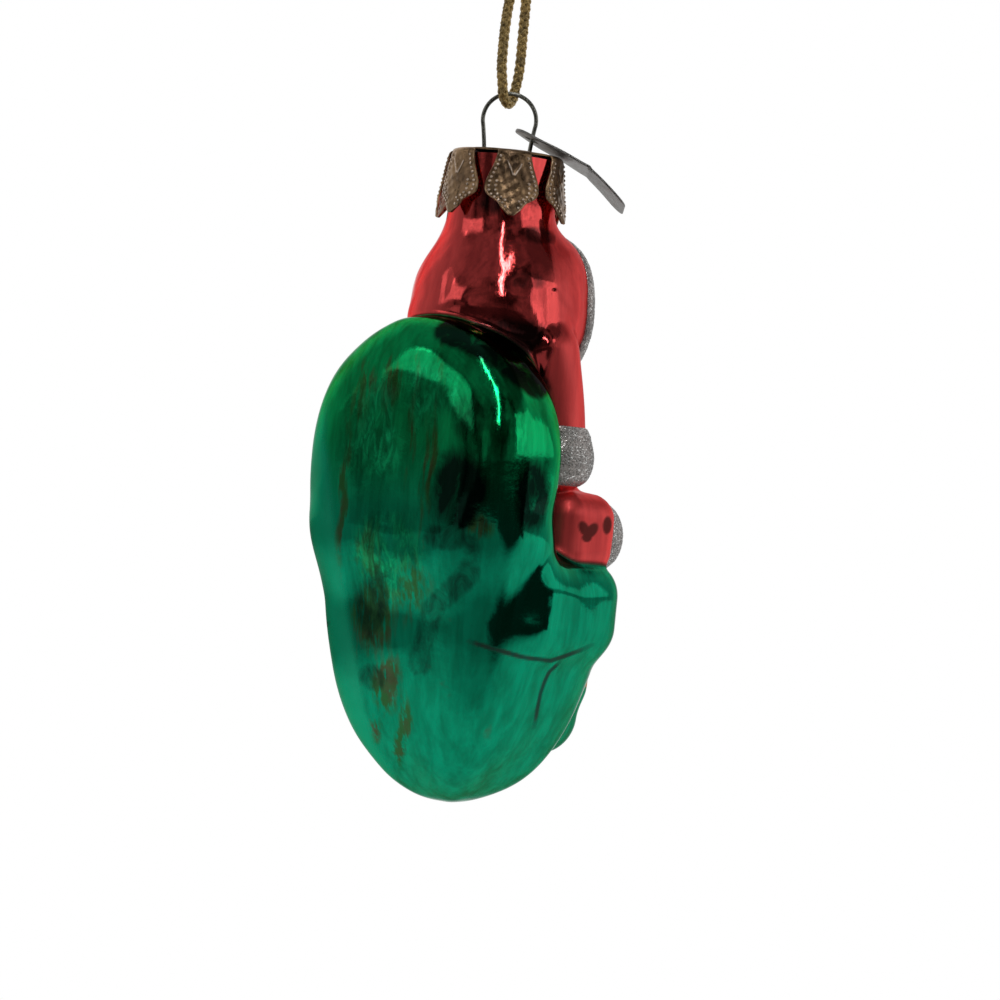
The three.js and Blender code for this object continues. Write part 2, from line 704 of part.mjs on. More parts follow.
const figure = new THREE.Group();
figure.position.z = glassBottomZ;
figure.add(piece('glass_body', makeGlassBody(), 0x05764f, 0.12, 0.6));
figure.add(glitter('hood_trim_glitter', makeHoodTrim()));
figure.add(glitter('left_cuff_glitter', coatSolid(bandPlace(cuffCoat, false), cuffCoat.rows)));
figure.add(glitter('right_cuff_glitter', coatSolid(bandPlace(cuffCoat, true), cuffCoat.rows)));
figure.add(glitter('coat_hem_glitter', coatSolid(bandPlace(hemCoat, false), hemCoat.rows)));

const top = new THREE.Group();
top.rotation.z = ringHeading * degrees;
const cap = piece('crown_cap', makeCrownCap(), 0x83694a, 0.42, 0.9);
cap.position.z = capTopZ;
const wire = piece('wire_loop', makeWireLoop(), 0x5d5c54, 0.35, 1);
wire.position.z = capTopZ;
const tag = piece('hang_tag', makeHangTag(), 0x8a8683, 0.45, 0.9);
const { x: tagX, z: tagZ, slope: tagSlope } = tagPlace();
tag.position.set(tagX, 0, tagZ);
tag.rotation.y = -tagSlope;
const cord = piece('cord_loop', makeCordLoop(), 0x85775b, 0.5, 0.6);
const knot = piece('cord_knot', makeKnot(), 0x85775b, 0.5, 0.6);
top.add(cap, wire, tag, cord, knot);

const ornament = new THREE.Group();
ornament.add(figure, top);

export default ornament;
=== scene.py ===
"""Looks of the blown-glass Santa in his wing armchair, hung by a crown cap and a cord."""
import math
from types import SimpleNamespace

import bpy
import numpy as np
from mathutils import Matrix, Vector


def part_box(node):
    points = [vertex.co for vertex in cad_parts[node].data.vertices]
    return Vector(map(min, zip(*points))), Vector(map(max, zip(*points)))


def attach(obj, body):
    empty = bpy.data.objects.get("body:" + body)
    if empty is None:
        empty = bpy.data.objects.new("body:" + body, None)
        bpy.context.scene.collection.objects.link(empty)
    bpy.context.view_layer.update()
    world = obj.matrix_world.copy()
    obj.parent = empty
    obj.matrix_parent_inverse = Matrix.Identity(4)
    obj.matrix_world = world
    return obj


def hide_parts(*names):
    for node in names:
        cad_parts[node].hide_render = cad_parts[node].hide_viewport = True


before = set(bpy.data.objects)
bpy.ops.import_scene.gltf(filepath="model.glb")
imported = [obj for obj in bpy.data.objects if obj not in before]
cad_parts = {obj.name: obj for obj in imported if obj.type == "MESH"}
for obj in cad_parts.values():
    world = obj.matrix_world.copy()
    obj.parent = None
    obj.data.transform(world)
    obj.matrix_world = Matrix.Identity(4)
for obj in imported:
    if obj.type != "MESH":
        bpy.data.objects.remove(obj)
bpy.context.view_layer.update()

MM = 0.001
RING_HEADING = math.radians(-140)

# Heights in the row frame, millimetres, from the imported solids
GLASS_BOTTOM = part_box("glass_body")[0][2] / MM
GLASS_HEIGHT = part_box("glass_body")[1][2] / MM - GLASS_BOTTOM
CAP_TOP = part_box("crown_cap")[1][2] / MM

scene = bpy.context.scene
scene.view_settings.view_transform = "Standard"


# Meshes are gathered from points in millimetres and faces, and made as one object

class Parts:
    def __init__(self):
        self.points = []
        self.faces = []
        self.count = 0

    def add(self, points, *face_sets):
        for faces in face_sets:
            self.faces.append(np.asarray(faces) + self.count)
        self.points.append(np.asarray(points, dtype=float).reshape(-1, 3))
        self.count += len(self.points[-1])

    def make(self, name, smooth=True):
        points = np.vstack(self.points) * MM
        totals = np.concatenate([np.full(len(f), f.shape[1]) for f in self.faces]).astype(np.int32)
        corners = np.concatenate([f.ravel() for f in self.faces]).astype(np.int32)
        mesh = bpy.data.meshes.new(name)
        mesh.vertices.add(len(points))
        mesh.vertices.foreach_set("co", points.ravel())
        mesh.loops.add(len(corners))
        mesh.loops.foreach_set("vertex_index", corners)
        mesh.polygons.add(len(totals))
        starts = np.concatenate([[0], np.cumsum(totals)[:-1]]).astype(np.int32)
        mesh.polygons.foreach_set("loop_start", starts)
        mesh.polygons.foreach_set("loop_total", totals)
        mesh.polygons.foreach_set("use_smooth", np.full(len(totals), smooth))
        mesh.update(calc_edges=True)
        obj = bpy.data.objects.new(name, mesh)
        scene.collection.objects.link(obj)
        return obj


def grid_faces(rows, cols, wrap=False, flip=False):
    i = np.arange(rows - 1)[:, None]
    j = np.arange(cols if wrap else cols - 1)[None, :]
    k = (j + 1) % cols
    quads = np.stack([i * cols + j, i * cols + k, (i + 1) * cols + k, (i + 1) * cols + j], axis=-1)
    quads = quads.reshape(-1, 4)
    return quads[:, ::-1] if flip else quads


def fan_faces(ring, hub, flip=False):
    ring = np.asarray(ring)
    triangles = np.stack([np.full(len(ring), hub), ring, np.roll(ring, -1)], axis=1)
    return triangles[:, ::-1] if flip else triangles


def turned(points, heading=RING_HEADING):
    """Turns points of the top assembly from its own frame into the row frame."""
    points = np.asarray(points, dtype=float)
    c, s = math.cos(heading), math.sin(heading)
    x, y = points[..., 0], points[..., 1]
    return np.stack([c * x - s * y, s * x + c * y, points[..., 2]], axis=-1)


def mask(obj, name, values):
    layer = obj.data.attributes.new(name, "FLOAT", "POINT")
    layer.data.foreach_set("value", np.asarray(values, dtype=np.float32).ravel())


def smoothstep(low, high, value):
    t = np.clip((value - low) / (high - low), 0, 1)
    return t * t * (3 - 2 * t)


def full_turn(count):
    return np.linspace(0, 2 * math.pi, count, endpoint=False)


def dress(obj, body, node, material):
    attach(obj, body)
    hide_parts(node)
    obj.data.materials.append(material)
    return obj


# Node materials

class Shader:
    """A short way to write the nodes of a material or of the world."""

    def __init__(self, owner):
        owner.use_nodes = True
        self.tree = owner.node_tree
        self.tree.nodes.clear()

    def put(self, value, socket):
        """Links a node's output to an input, or writes a number, a vector or a colour into it."""
        if isinstance(value, bpy.types.NodeSocket):
            self.tree.links.new(value, socket)
        else:
            socket.default_value = as_colour(value) if socket.type == "RGBA" else value

    def node(self, kind, inputs=None, **settings):
        made = self.tree.nodes.new(kind)
        for key, value in settings.items():
            setattr(made, key, value)
        for key, value in (inputs or {}).items():
            self.put(value, made.inputs[key])
        return made

    def attribute(self, name):
        return self.node("ShaderNodeAttribute", attribute_name=name).outputs["Fac"]

    def place(self):
        return self.node("ShaderNodeTexCoord").outputs["Object"]

    def noise(self, scale, detail=4, roughness=0.55, distortion=0, where=None):
        """Noise with one scale, or with a scale for each of x, y and z."""
        where = where or self.place()
        if not np.isscalar(scale):
            where = self.node("ShaderNodeMapping", {"Scale": scale, "Vector": where}).outputs[0]
            scale = 1
        values = dict(Scale=scale, Detail=detail, Roughness=roughness, Distortion=distortion, Vector=where)
        return self.node("ShaderNodeTexNoise", values).outputs["Fac"]

    def ramp(self, factor, *stops):
        made = self.node("ShaderNodeValToRGB", {0: factor})
        elements = made.color_ramp.elements
        while len(elements) < len(stops):
            elements.new(0.5)
        for element, (position, value) in zip(elements, stops):
            element.position = position
            element.color = as_colour(value)
        return made.outputs[0]

    def eased(self, value, start, end):
        """0 at the start and 1 at the end, with soft ends."""
        limits = {"Value": value, "From Min": start, "From Max": end}
        return self.node("ShaderNodeMapRange", limits, interpolation_type="SMOOTHSTEP").outputs[0]

    def mix(self, factor, first, second, blend="MIX"):
        inputs = {0: factor, 6: first, 7: second}
        return self.node("ShaderNodeMix", inputs, data_type="RGBA", blend_type=blend).outputs[2]

    def over(self, name, below, above, strength=1):
        """Lays a colour over another where a mask is set."""
        return self.mix(self.times(self.attribute(name), strength), below, above)

    def math(self, operation, first, second=0.5):
        return self.node("ShaderNodeMath", {0: first, 1: second}, operation=operation).outputs[0]

    def times(self, first, second):
        return self.math("MULTIPLY", first, second)

    def along(self, source, axis):
        """How far a place or direction lies along an axis, with 0.5 added."""
        dot = self.node("ShaderNodeVectorMath", {0: source, 1: axis}, operation="DOT_PRODUCT")
        return self.math("ADD", dot.outputs["Value"], 0.5)

    def seen_rays(self):
        """1 for rays from the camera, and 1 for those and for what metal and glass send back."""
        path = self.node("ShaderNodeLightPath").outputs
        sent_back = self.math("MAXIMUM", path["Is Glossy Ray"], path["Is Transmission Ray"])
        return path["Is Camera Ray"], self.math("MAXIMUM", path["Is Camera Ray"], sent_back)


class Material(Shader):
    def __init__(self, name):
        self.material = bpy.data.materials.new(name)
        super().__init__(self.material)
        self.surface = self.node("ShaderNodeBsdfPrincipled")
        self.output = self.node("ShaderNodeOutputMaterial", {0: self.surface.outputs[0]})

    def feed(self, **values):
        for key, value in values.items():
            self.put(value, self.surface.inputs[key.replace("_", " ")])

    def bump(self, height, strength, distance):
        made = self.node("ShaderNodeBump", dict(Strength=strength, Distance=distance, Height=height))
        self.feed(Normal=made.outputs[0])


def as_colour(value):
    return (value, value, value, 1) if np.isscalar(value) else (*value, 1)


# Camera: level with the middle of the picture, turned and rolled as the photograph is

VIEW_RIGHT = Vector((math.cos(RING_HEADING), math.sin(RING_HEADING), 0))
VIEW_AWAY = Vector((-math.sin(RING_HEADING), math.cos(RING_HEADING), 0))
UP = Vector((0, 0, 1))
CAMERA_DISTANCE = 420 * MM
PICTURE_WIDTH = 137 * MM
PICTURE_MIDDLE_RIGHT = 3.4 * MM
PICTURE_MIDDLE_HEIGHT = 41.7 * MM
PICTURE_ROLL = math.radians(5.18)
SENSOR = 36


def make_camera():
    data = bpy.data.cameras.new("camera")
    data.sensor_width = SENSOR
    data.lens = SENSOR * CAMERA_DISTANCE / PICTURE_WIDTH
    data.clip_start = 0.01
    camera = bpy.data.objects.new("camera", data)
    scene.collection.objects.link(camera)
    c, s = math.cos(PICTURE_ROLL), math.sin(PICTURE_ROLL)
    axes = Matrix((VIEW_RIGHT * c + UP * s, UP * c - VIEW_RIGHT * s, -VIEW_AWAY))
    middle = VIEW_RIGHT * PICTURE_MIDDLE_RIGHT + UP * (GLASS_BOTTOM * MM + PICTURE_MIDDLE_HEIGHT)
    place = Matrix.Translation(middle - VIEW_AWAY * CAMERA_DISTANCE)
    camera.matrix_world = place @ axes.transposed().to_4x4()
    scene.camera = camera


# Paths and tubes

def blend(a, b, start, end, t):
    return ((end - t) * a + (t - start) * b) / (end - start)


def smooth_path(points, count):
    """A centripetal spline through the points, sampled at even steps."""
    p = np.asarray(points, dtype=float)
    p = np.vstack([2 * p[0] - p[1], p, 2 * p[-1] - p[-2]])
    pieces = []
    for ends in zip(p, p[1:], p[2:], p[3:]):
        at = np.cumsum([0] + [np.linalg.norm(b - a) ** 0.5 for a, b in zip(ends, ends[1:])])
        t = np.linspace(at[1], at[2], 24, endpoint=False)[:, None]
        first = [blend(ends[i], ends[i + 1], at[i], at[i + 1], t) for i in range(3)]
        second = [blend(first[i], first[i + 1], at[i], at[i + 2], t) for i in range(2)]
        pieces.append(blend(*second, at[1], at[2], t))
    path = np.vstack(pieces + [p[-2][None]])
    steps = along_path(path)
    even = np.linspace(0, steps[-1], count)
    return np.stack([np.interp(even, steps, path[:, k]) for k in range(3)], axis=1)


def along_path(path):
    return np.concatenate([[0], np.cumsum(np.linalg.norm(np.diff(path, axis=0), axis=1))])


def path_frames(path):
    """Two normals at each point, carried along the path without twist."""
    tangent = np.gradient(path, axis=0)
    tangent /= np.linalg.norm(tangent, axis=1)[:, None]
    start = np.cross(tangent[0], (0.3, 1, 0.2))
    normal = [start / np.linalg.norm(start)]
    for t in tangent[1:]:
        n = normal[-1] - t * np.dot(normal[-1], t)
        normal.append(n / np.linalg.norm(n))
    normal = np.array(normal)
    return normal, np.cross(tangent, normal)


def add_tube(parts, path, radius, sides):
    """A closed round tube; the radius may vary along it."""
    normal, other = path_frames(path)
    count = len(path)
    radius = np.broadcast_to(np.asarray(radius, dtype=float), (count,))
    turn = full_turn(sides)
    ring = np.cos(turn)[None, :, None] * normal[:, None] + np.sin(turn)[None, :, None] * other[:, None]
    points = (path[:, None] + ring * radius[:, None, None]).reshape(-1, 3)
    points = np.vstack([points, path[0], path[-1]])
    hub = count * sides
    first = fan_faces(np.arange(sides), hub, flip=True)
    last = fan_faces(np.arange(sides) + (count - 1) * sides, hub + 1)
    parts.add(points, grid_faces(count, sides, wrap=True), first, last)


# Cord: the points of its middle line, as in the solids, in the frame of the top assembly

CORD_DIAMETER = 1.5
CORD_POINTS = [
    (-0.65, -0.75, -0.3), (-1.05, -1.1, -2.4), (-1.5, -1.6, -5.2), (-1.72, -2, -8.5),
    (-1.75, -2.3, -12), (-1.68, -2.4, -14.2), (-1.4, -2.3, -16.2), (-1.1, -1.5, -17.9),
    (-0.45, 0, -18.7),
    (0.15, 1.5, -17.9), (0.42, 2.3, -16.2), (0.68, 2.4, -14.2), (0.76, 2.3, -12),
    (0.75, 2, -8.5), (0.78, 1.6, -5.2), (0.74, 1.1, -2.4), (0.65, 0.75, -0.3),
]
BRAID_STRANDS = 8
BRAID_PITCH = 4.2
BRAID_FIBRE = 0.22
BRAID_LIFT = 0.06


def add_braid(parts, path, diameter=CORD_DIAMETER):
    """Strands that wind both ways round a core and pass over and under each other."""
    normal, other = path_frames(path)
    steps = along_path(path)
    pairs = BRAID_STRANDS // 2
    middle = diameter / 2 - BRAID_FIBRE - BRAID_LIFT
    for strand in range(BRAID_STRANDS):
        way = 1 if strand % 2 == 0 else -1
        turn = way * 2 * math.pi * steps / BRAID_PITCH + 2 * math.pi * (strand // 2) / pairs
        lift = way * np.cos(pairs * 2 * math.pi * steps / BRAID_PITCH)
        reach = middle + BRAID_LIFT * lift
        line = path + reach[:, None] * (np.cos(turn)[:, None] * normal + np.sin(turn)[:, None] * other)
        add_tube(parts, line, BRAID_FIBRE, 8)
    add_tube(parts, path, middle, 16)


def make_cord(gold):
    path = turned(smooth_path(CORD_POINTS, 460))
    parts = Parts()
    add_braid(parts, path)
    cord = dress(parts.make("cord_braid"), "hanging_loop", "cord_loop", gold)


# The glass: distances to its forms, negative inside, as in the solids. Heights run from its lowest point.

CHAIR = SimpleNamespace(
    half_width=18.9, back_front=2.6, back_rear=17.9, rear_round=8, front_round=4.2,
    arch_start=46.5, arch_rise=19, back_foot=29, foot_round=9, low_taper=2.6,
    base_half_width=17.2, base_half_depth=15.6, base_middle=0, base_height=34,
    base_squareness=4, base_fullness=2.15, seat_height=35, seat_round=8, seat_fillet=6.5,
    arm_half_width=5, arm_middle=13.6, arm_half_length=10.6, arm_at=-2, arm_top=34.2,
    arm_half_height=6.6, arm_round=4.6,
)
HOOD = ((0, -1.4, 67.4), (12.2, 12.4, 12.5))
HOOD_FRONT = ((0, -5.4, 72), (10, 8.4, 8.1))
HOOD_OPENING = ((0, -17, 67.4), (7.8, 8.2, 8.8))
COLLAR = ((0, 1, 61.5), (11.2, 9.6, 5))
FACE = ((0, -8, 67.2), (6.7, 6.3, 8))
NOSE = ((0, -14.3, 66.6), (1.7, 1.7, 1.6))
CHEEK = ((3, -12.9, 65.6), (2.4, 1.9, 1.9))
BROW = ((1.3, -13.5, 70.2), (4.4, -12.4, 70.4), (0.9, 0.7))
MOUSTACHE = ((0.7, -14, 63.9), (4.8, -12.6, 62.4), (1.6, 0.9))
BEARD = ((0, -9.8, 57.6), (7, 5.2, 8.6))
TORSO = ((0, -2.4, 52), (11, 9.6, 14))
BELLY = ((0, -8.4, 45.5), (9, 7, 7.5))
LAP = ((0, -8.6, 36.4), (8, 8.6, 6))
SHOULDER = ((9.4, -1, 62.4), (11.4, -3, 50.5), (4.5, 3.7))
CUFF = ((11.4, -3.1, 48), (4.3, 4.4, 4.9))
MITTEN = ((12.5, -6.3, 38.1), (3.9, 5.6, 5.6), 3.3)
THIGH = ((5.6, -4, 38.4), (7.8, -12.8, 37.8), (6, 6.1))
SHIN = ((6.9, -12.9, 33), (6.6, -12.7, 17), (4.6, 4.4))
BOOT = ((6, -11.6, 12.4), (4.3, 5.2, 5.2))
TRIM = SimpleNamespace(half_width=8, half_height=9.2, middle=67.8, depth=8.7, round=1.6, band=2)
TRIM_ENDS = (-48, 228)
NECK_RADIUS = 7.3
NECK_BLEND = 2.6


def join(a, b, radius):
    """Union with a fillet of about this radius."""
    h = np.maximum(radius - np.abs(a - b), 0) / radius
    return np.minimum(a, b) - h * h * radius / 4


def ball(p, form):
    at, size = form
    q = [(p[k] - at[k]) / size[k] for k in range(3)]
    scaled = np.sqrt(q[0] ** 2 + q[1] ** 2 + q[2] ** 2)
    slope = np.sqrt((q[0] / size[0]) ** 2 + (q[1] / size[1]) ** 2 + (q[2] / size[2]) ** 2)
    return scaled * (scaled - 1) / np.maximum(slope, 1e-9)


def limb(p, form):
    start, end, radius = form
    along = [end[k] - start[k] for k in range(3)]
    offset = [p[k] - start[k] for k in range(3)]
    dot = sum(along[k] * offset[k] for k in range(3))
    t = np.clip(dot / sum(a * a for a in along), 0, 1)
    gap = np.sqrt(sum((offset[k] - t * along[k]) ** 2 for k in range(3)))
    return gap - (radius[0] + (radius[1] - radius[0]) * t)


def rounded_box(p, form):
    centre, half, radius = form
    q = [np.abs(p[k] - centre[k]) - half[k] + radius for k in range(3)]
    outside = np.sqrt(sum(np.maximum(v, 0) ** 2 for v in q))
    return outside + np.minimum(np.maximum(np.maximum(q[0], q[1]), q[2]), 0) - radius


def joined(p, distance, *forms):
    """Joins forms to what is there, each given by its kind, its sizes and its fillet."""
    for kind, form, fillet in forms:
        distance = join(distance, kind(p, form), fillet)
    return distance


def chair_back(p):
    x, y, z = p
    c = CHAIR
    rise = np.maximum(z - c.arch_start, 0)
    drop = np.maximum(c.arch_start - z, 0) / (c.arch_start - c.back_foot)
    taper = c.low_taper * drop * drop
    arch = (np.hypot(x / c.half_width, rise / c.arch_rise) - 1) * min(c.half_width, c.arch_rise)
    below = np.maximum(c.back_foot + c.foot_round - z, 0)
    sides = np.hypot(np.maximum(x + taper - c.half_width + c.foot_round, 0), below) - c.foot_round
    outline = np.where(rise > 0, arch, sides)
    middle = (c.back_front + c.back_rear) / 2
    half = (c.back_rear - c.back_front) / 2
    share = np.clip((y - c.back_front) / (2 * half), 0, 1)
    radius = c.front_round + (c.rear_round - c.front_round) * share
    side = outline + radius
    depth = np.abs(y + taper / 2 - middle) - half + radius
    outside = np.hypot(np.maximum(side, 0), np.maximum(depth, 0))
    return outside + np.minimum(np.maximum(side, depth), 0) - radius


def chair_base(p):
    x, y, z = p
    c = CHAIR
    n, full = c.base_squareness, c.base_fullness
    across = np.abs(x / c.base_half_width) ** n
    along = np.abs((y - c.base_middle) / c.base_half_depth) ** n
    level = (across + along) ** (1 / n)
    drop = np.abs((z - c.base_height) / c.base_height)
    reach = (level ** full + drop ** full) ** (1 / full)
    return -join((1 - reach) * c.base_half_depth, c.seat_height - z, c.seat_round)


def chair_arm(p):
    c = CHAIR
    half = (c.arm_half_width, c.arm_half_length, c.arm_half_height)
    centre = (c.arm_middle, c.arm_at, c.arm_top - c.arm_half_height)
    return rounded_box(p, (centre, half, c.arm_round))


def chair(p):
    return join(join(chair_back(p), chair_base(p), CHAIR.seat_fillet), chair_arm(p), 2.5)


def trim_roll(p):
    reach = np.hypot(p[0] / TRIM.half_width, (p[2] - TRIM.middle) / TRIM.half_height) - 1
    return np.hypot(reach * TRIM.half_width, p[1] + TRIM.depth) - TRIM.round


def head(p):
    shell = np.maximum(join(ball(p, HOOD), ball(p, HOOD_FRONT), 1.5), -ball(p, HOOD_OPENING))
    face = joined(
        p, ball(p, FACE), (ball, CHEEK, 0.9), (ball, NOSE, 0.7), (limb, BROW, 0.7), (ball, BEARD, 1),
        (limb, MOUSTACHE, 0.5),
    )
    return join(join(face, trim_roll(p), 0.5), shell, 1)


def coat(p):
    return joined(
        p, ball(p, TORSO), (ball, BELLY, 3), (ball, LAP, 3), (limb, THIGH, 2), (limb, SHOULDER, 1.6),
        (ball, COLLAR, 1.2), (ball, CUFF, 0.6),
    )


def santa(p):
    d = joined(p, coat(p), (limb, SHIN, 1.4), (ball, BOOT, 1.6), (rounded_box, MITTEN, 0.6))
    neck = np.maximum(np.hypot(p[0], p[1]) - NECK_RADIUS, HOOD[0][2] - p[2])
    return join(join(d, head(p), 1), neck, NECK_BLEND)


def glass(x, y, z):
    p = (np.abs(x), y, z)
    return join(chair(p), santa(p), 1)


def reach_of(height, direction, start=30.0, steps=70):
    """How far the glass reaches from points of the axis, along directions, looked for inward from start."""

    def distance(reach):
        return glass(reach * direction[0], reach * direction[1], height + reach * direction[2])

    inner = np.broadcast_to(np.asarray(start, dtype=float), height.shape).copy()
    for _ in range(steps):
        inner = np.maximum(inner - np.clip(distance(inner) * 0.55, 0, 1.2), 0.5)
    low, high = np.maximum(inner - 0.5, 0.3), inner + 0.1
    for _ in range(12):
        middle = (low + high) / 2
        outside = distance(middle) > 0
        low, high = np.where(outside, low, middle), np.where(outside, middle, high)
    return low


GLASS_COLUMNS = 480
# Rows of points in the foot, the body, the head and the neck
GLASS_ROWS = ((72, 190, 170, 30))
BELT_HEIGHT = 20
FRONT_CROWDING = 0.3
WALL = 1.0
COARSE = 4

# Dents left by the mould and the tongs: right, height, half width, half height, depth
DENTS = [
    (-4.6, 68.4, 2.6, 2.8, -0.22), (-6.5, 69.8, 0.55, 1.4, 0.14), (7.0, 64.4, 2.4, 2.6, -0.42),
    (4.9, 74.6, 1.2, 1.4, -0.16), (4.9, 79.4, 1.3, 1.4, -0.14), (1.6, 75.0, 1.2, 3.4, 0.12),
    (3.4, 70.6, 1.5, 1.3, 0.16), (-11.0, 65.0, 2.4, 2.4, -0.6), (8.7, 29.3, 2.3, 2.9, 0.34),
    (-4.2, 55.4, 3.2, 2.4, 0.16), (-8.4, 58.4, 2.4, 2.0, 0.12), (3.0, 39.4, 3.0, 3.0, -0.14),
    (-7.6, 36.8, 2.2, 3.4, 0.12), (-10.6, 24.4, 1.8, 2.2, 0.16), (-8.9, 17.6, 1.7, 2.1, 0.16),
]

# Creases in the cloth: between the back of the hood and its side, and between the hood and the sleeve
CREASES = [
    ((8.45, 70.1), (9.35, 64.8), (8.56, 62.8), (7.6, 57.8)),
    ((8.45, 70.1), (11.7, 66.0), (12.9, 62.7)),
    ((15.2, 43.9), (13.4, 43.2), (11.6, 42.9)),
]
# Where the mirror-bright back of the hood and sleeve gives way to their dull side: heights, and right there
SIDE_LINE = ((57.8, 62.8, 64.8, 70.1, 77.9), (7.6, 8.56, 9.35, 8.45, 6.6))
CREASE_DEPTH = 0.13
CREASE_WIDTH = 0.6


def column_turns():
    turns = full_turn(GLASS_COLUMNS)
    return -math.pi / 2 + turns - FRONT_CROWDING * np.sin(turns)


def seen_place(x, y):
    """Right and away in the picture, of places on the plan."""
    return x * VIEW_RIGHT[0] + y * VIEW_RIGHT[1], x * VIEW_AWAY[0] + y * VIEW_AWAY[1]


def side_place(x, y):
    """Right in the picture, of places on the side that it shows and of their mirror images."""
    return np.abs(VIEW_RIGHT[0] * x) + VIEW_RIGHT[1] * y


def line_gap(u, z, line):
    """Distance from places to a chain of points, and the share of the chain's length there."""
    gap, share = np.full(u.shape, 99.0), np.zeros(u.shape)
    steps = along_path(np.array(line))
    for (a, b), (c, d), start, end in zip(line, line[1:], steps, steps[1:]):
        t = np.clip(((u - a) * (c - a) + (z - b) * (d - b)) / ((c - a) ** 2 + (d - b) ** 2), 0, 1)
        here = np.hypot(u - a - t * (c - a), z - b - t * (d - b))
        share = np.where(here < gap, (start + t * (end - start)) / steps[-1], share)
        gap = np.minimum(gap, here)
    return gap, share


def creases(x, y, z):
    u = side_place(x, y)
    total = np.zeros_like(x)
    for line in CREASES:
        gap, share = line_gap(u, z, line)
        total -= CREASE_DEPTH * np.exp(-(gap / CREASE_WIDTH) ** 2) * smoothstep(1.0, 0.8, share)
    return total * smoothstep(5, 2, y)


def ripple(x, y, z):
    """The slow unevenness of hand-blown glass, in millimetres."""
    waves = [
        (0.31, 0.12, 0.21, 0.4, 0.10), (-0.18, 0.35, 0.16, 1.9, 0.09), (0.12, -0.27, 0.40, 4.1, 0.07),
        (0.52, 0.31, -0.23, 2.2, 0.05), (-0.42, 0.55, 0.36, 5.0, 0.045), (0.71, -0.52, 0.48, 0.9, 0.025),
        (0.95, 0.62, 0.31, 3.3, 0.012), (-0.55, 0.97, -0.72, 1.1, 0.012),
    ]
    fine = [(1.9, -1.3, 1.4, 0.5, 0.007), (-1.3, 1.5, 2.1, 2.7, 0.006)]

    def swell(table):
        return sum(size * np.sin(a * x + b * y + c * z + phase) for a, b, c, phase, size in table)

    return swell(waves) + swell(fine) * smoothstep(62, 68, z)


def oval(u, z, at, height, half_width, half_height):
    """How far out places lie in an oval: 0 in its middle and 1 on its edge."""
    return np.hypot((u - at) / half_width, (z - height) / half_height)


def dents(x, y, z):
    right, away = seen_place(x, y)
    total = np.zeros_like(x)
    for *place, depth in DENTS:
        total -= depth * np.exp(-oval(right, z, *place) ** 2)
    return total * smoothstep(2, -2, away)


def glass_rows():
    """Height and tilt of the rays, from the lowest point up to the rim."""
    foot, *counts = GLASS_ROWS
    rows = [(BELT_HEIGHT, math.radians(-90 + 90 * (i + 1) / (foot + 1))) for i in range(foot)]
    levels = [BELT_HEIGHT, BEARD[0][2], HOOD[0][2] + HOOD[1][2], GLASS_HEIGHT]
    for start, end, count in zip(levels, levels[1:], counts):
        rows += [(start + (end - start) * i / count, 0) for i in range(count)]
    return np.array(rows + [(GLASS_HEIGHT, 0)])


def rays(rows, turns):
    height = np.repeat(rows[:, 0][:, None], len(turns), axis=1)
    tilt = np.repeat(rows[:, 1][:, None], len(turns), axis=1)
    turn = np.repeat(turns[None], len(rows), axis=0)
    return height, (np.cos(tilt) * np.cos(turn), np.cos(tilt) * np.sin(turn), np.sin(tilt))


def nearby(values, pick, span):
    """The least or greatest value within a span of rows and columns, the columns running round."""
    out = values.copy()
    for step in range(1, span + 1):
        out = pick(out, pick(np.roll(values, step, axis=1), np.roll(values, -step, axis=1)))
    rows = out.copy()
    for step in range(1, span + 1):
        rows[step:] = pick(rows[step:], out[:-step])
        rows[:-step] = pick(rows[:-step], out[step:])
    return rows


def glass_surface():
    """The rays and how far the glass reaches along them, found on every few of them first."""
    rows, turns = glass_rows(), column_turns()
    picked = np.unique(np.append(np.arange(0, len(rows), COARSE), len(rows) - 1))
    coarse = nearby(reach_of(*rays(rows[picked], turns[::COARSE])), np.maximum, 1)
    near_row = np.searchsorted(picked, np.arange(len(rows)), side="right") - 1
    start = np.repeat(coarse[near_row], COARSE, axis=1)[:, :GLASS_COLUMNS] + 0.8
    height, direction = rays(rows, turns)
    reach = reach_of(height, direction, start, 22)
    x, y, z = np.moveaxis(ray_points(direction, height, reach), -1, 0)
    calm = smoothstep(GLASS_HEIGHT - 5, GLASS_HEIGHT - 10, z)
    return direction, height, reach + (ripple(x, y, z) + dents(x, y, z) + creases(x, y, z)) * calm


def ray_points(direction, height, reach):
    return np.stack([reach * direction[0], reach * direction[1], height + reach * direction[2]], axis=-1)


def lowered(points):
    """From heights above the lowest point of the glass to the row frame."""
    return np.asarray(points) + np.array([0, 0, GLASS_BOTTOM])


def add_skin(parts, points, foot, inward):
    """One skin of the glass, closed by its lowest point."""
    rows, cols = points.shape[:2]
    points = np.vstack([points.reshape(-1, 3), [[0, 0, foot]]])
    around = grid_faces(rows, cols, wrap=True, flip=inward)
    parts.add(lowered(points), around, fan_faces(np.arange(cols), rows * cols, flip=not inward))
    return points


def make_glass(lacquer):
    direction, height, reach = glass_surface()
    parts = Parts()
    outer = add_skin(parts, ray_points(direction, height, reach), 0, False)
    every = slice(None, None, COARSE)
    inner_reach = nearby(reach, np.minimum, 6)[every, every] - WALL
    inner_reach[-1] = NECK_RADIUS - WALL
    inner = ray_points([d[every, every] for d in direction], height[every, every], inner_reach)
    add_skin(parts, inner, WALL, True)
    body = dress(parts.make("santa_glass"), "figure", "glass_body", lacquer)
    paint_glass(body, outer)


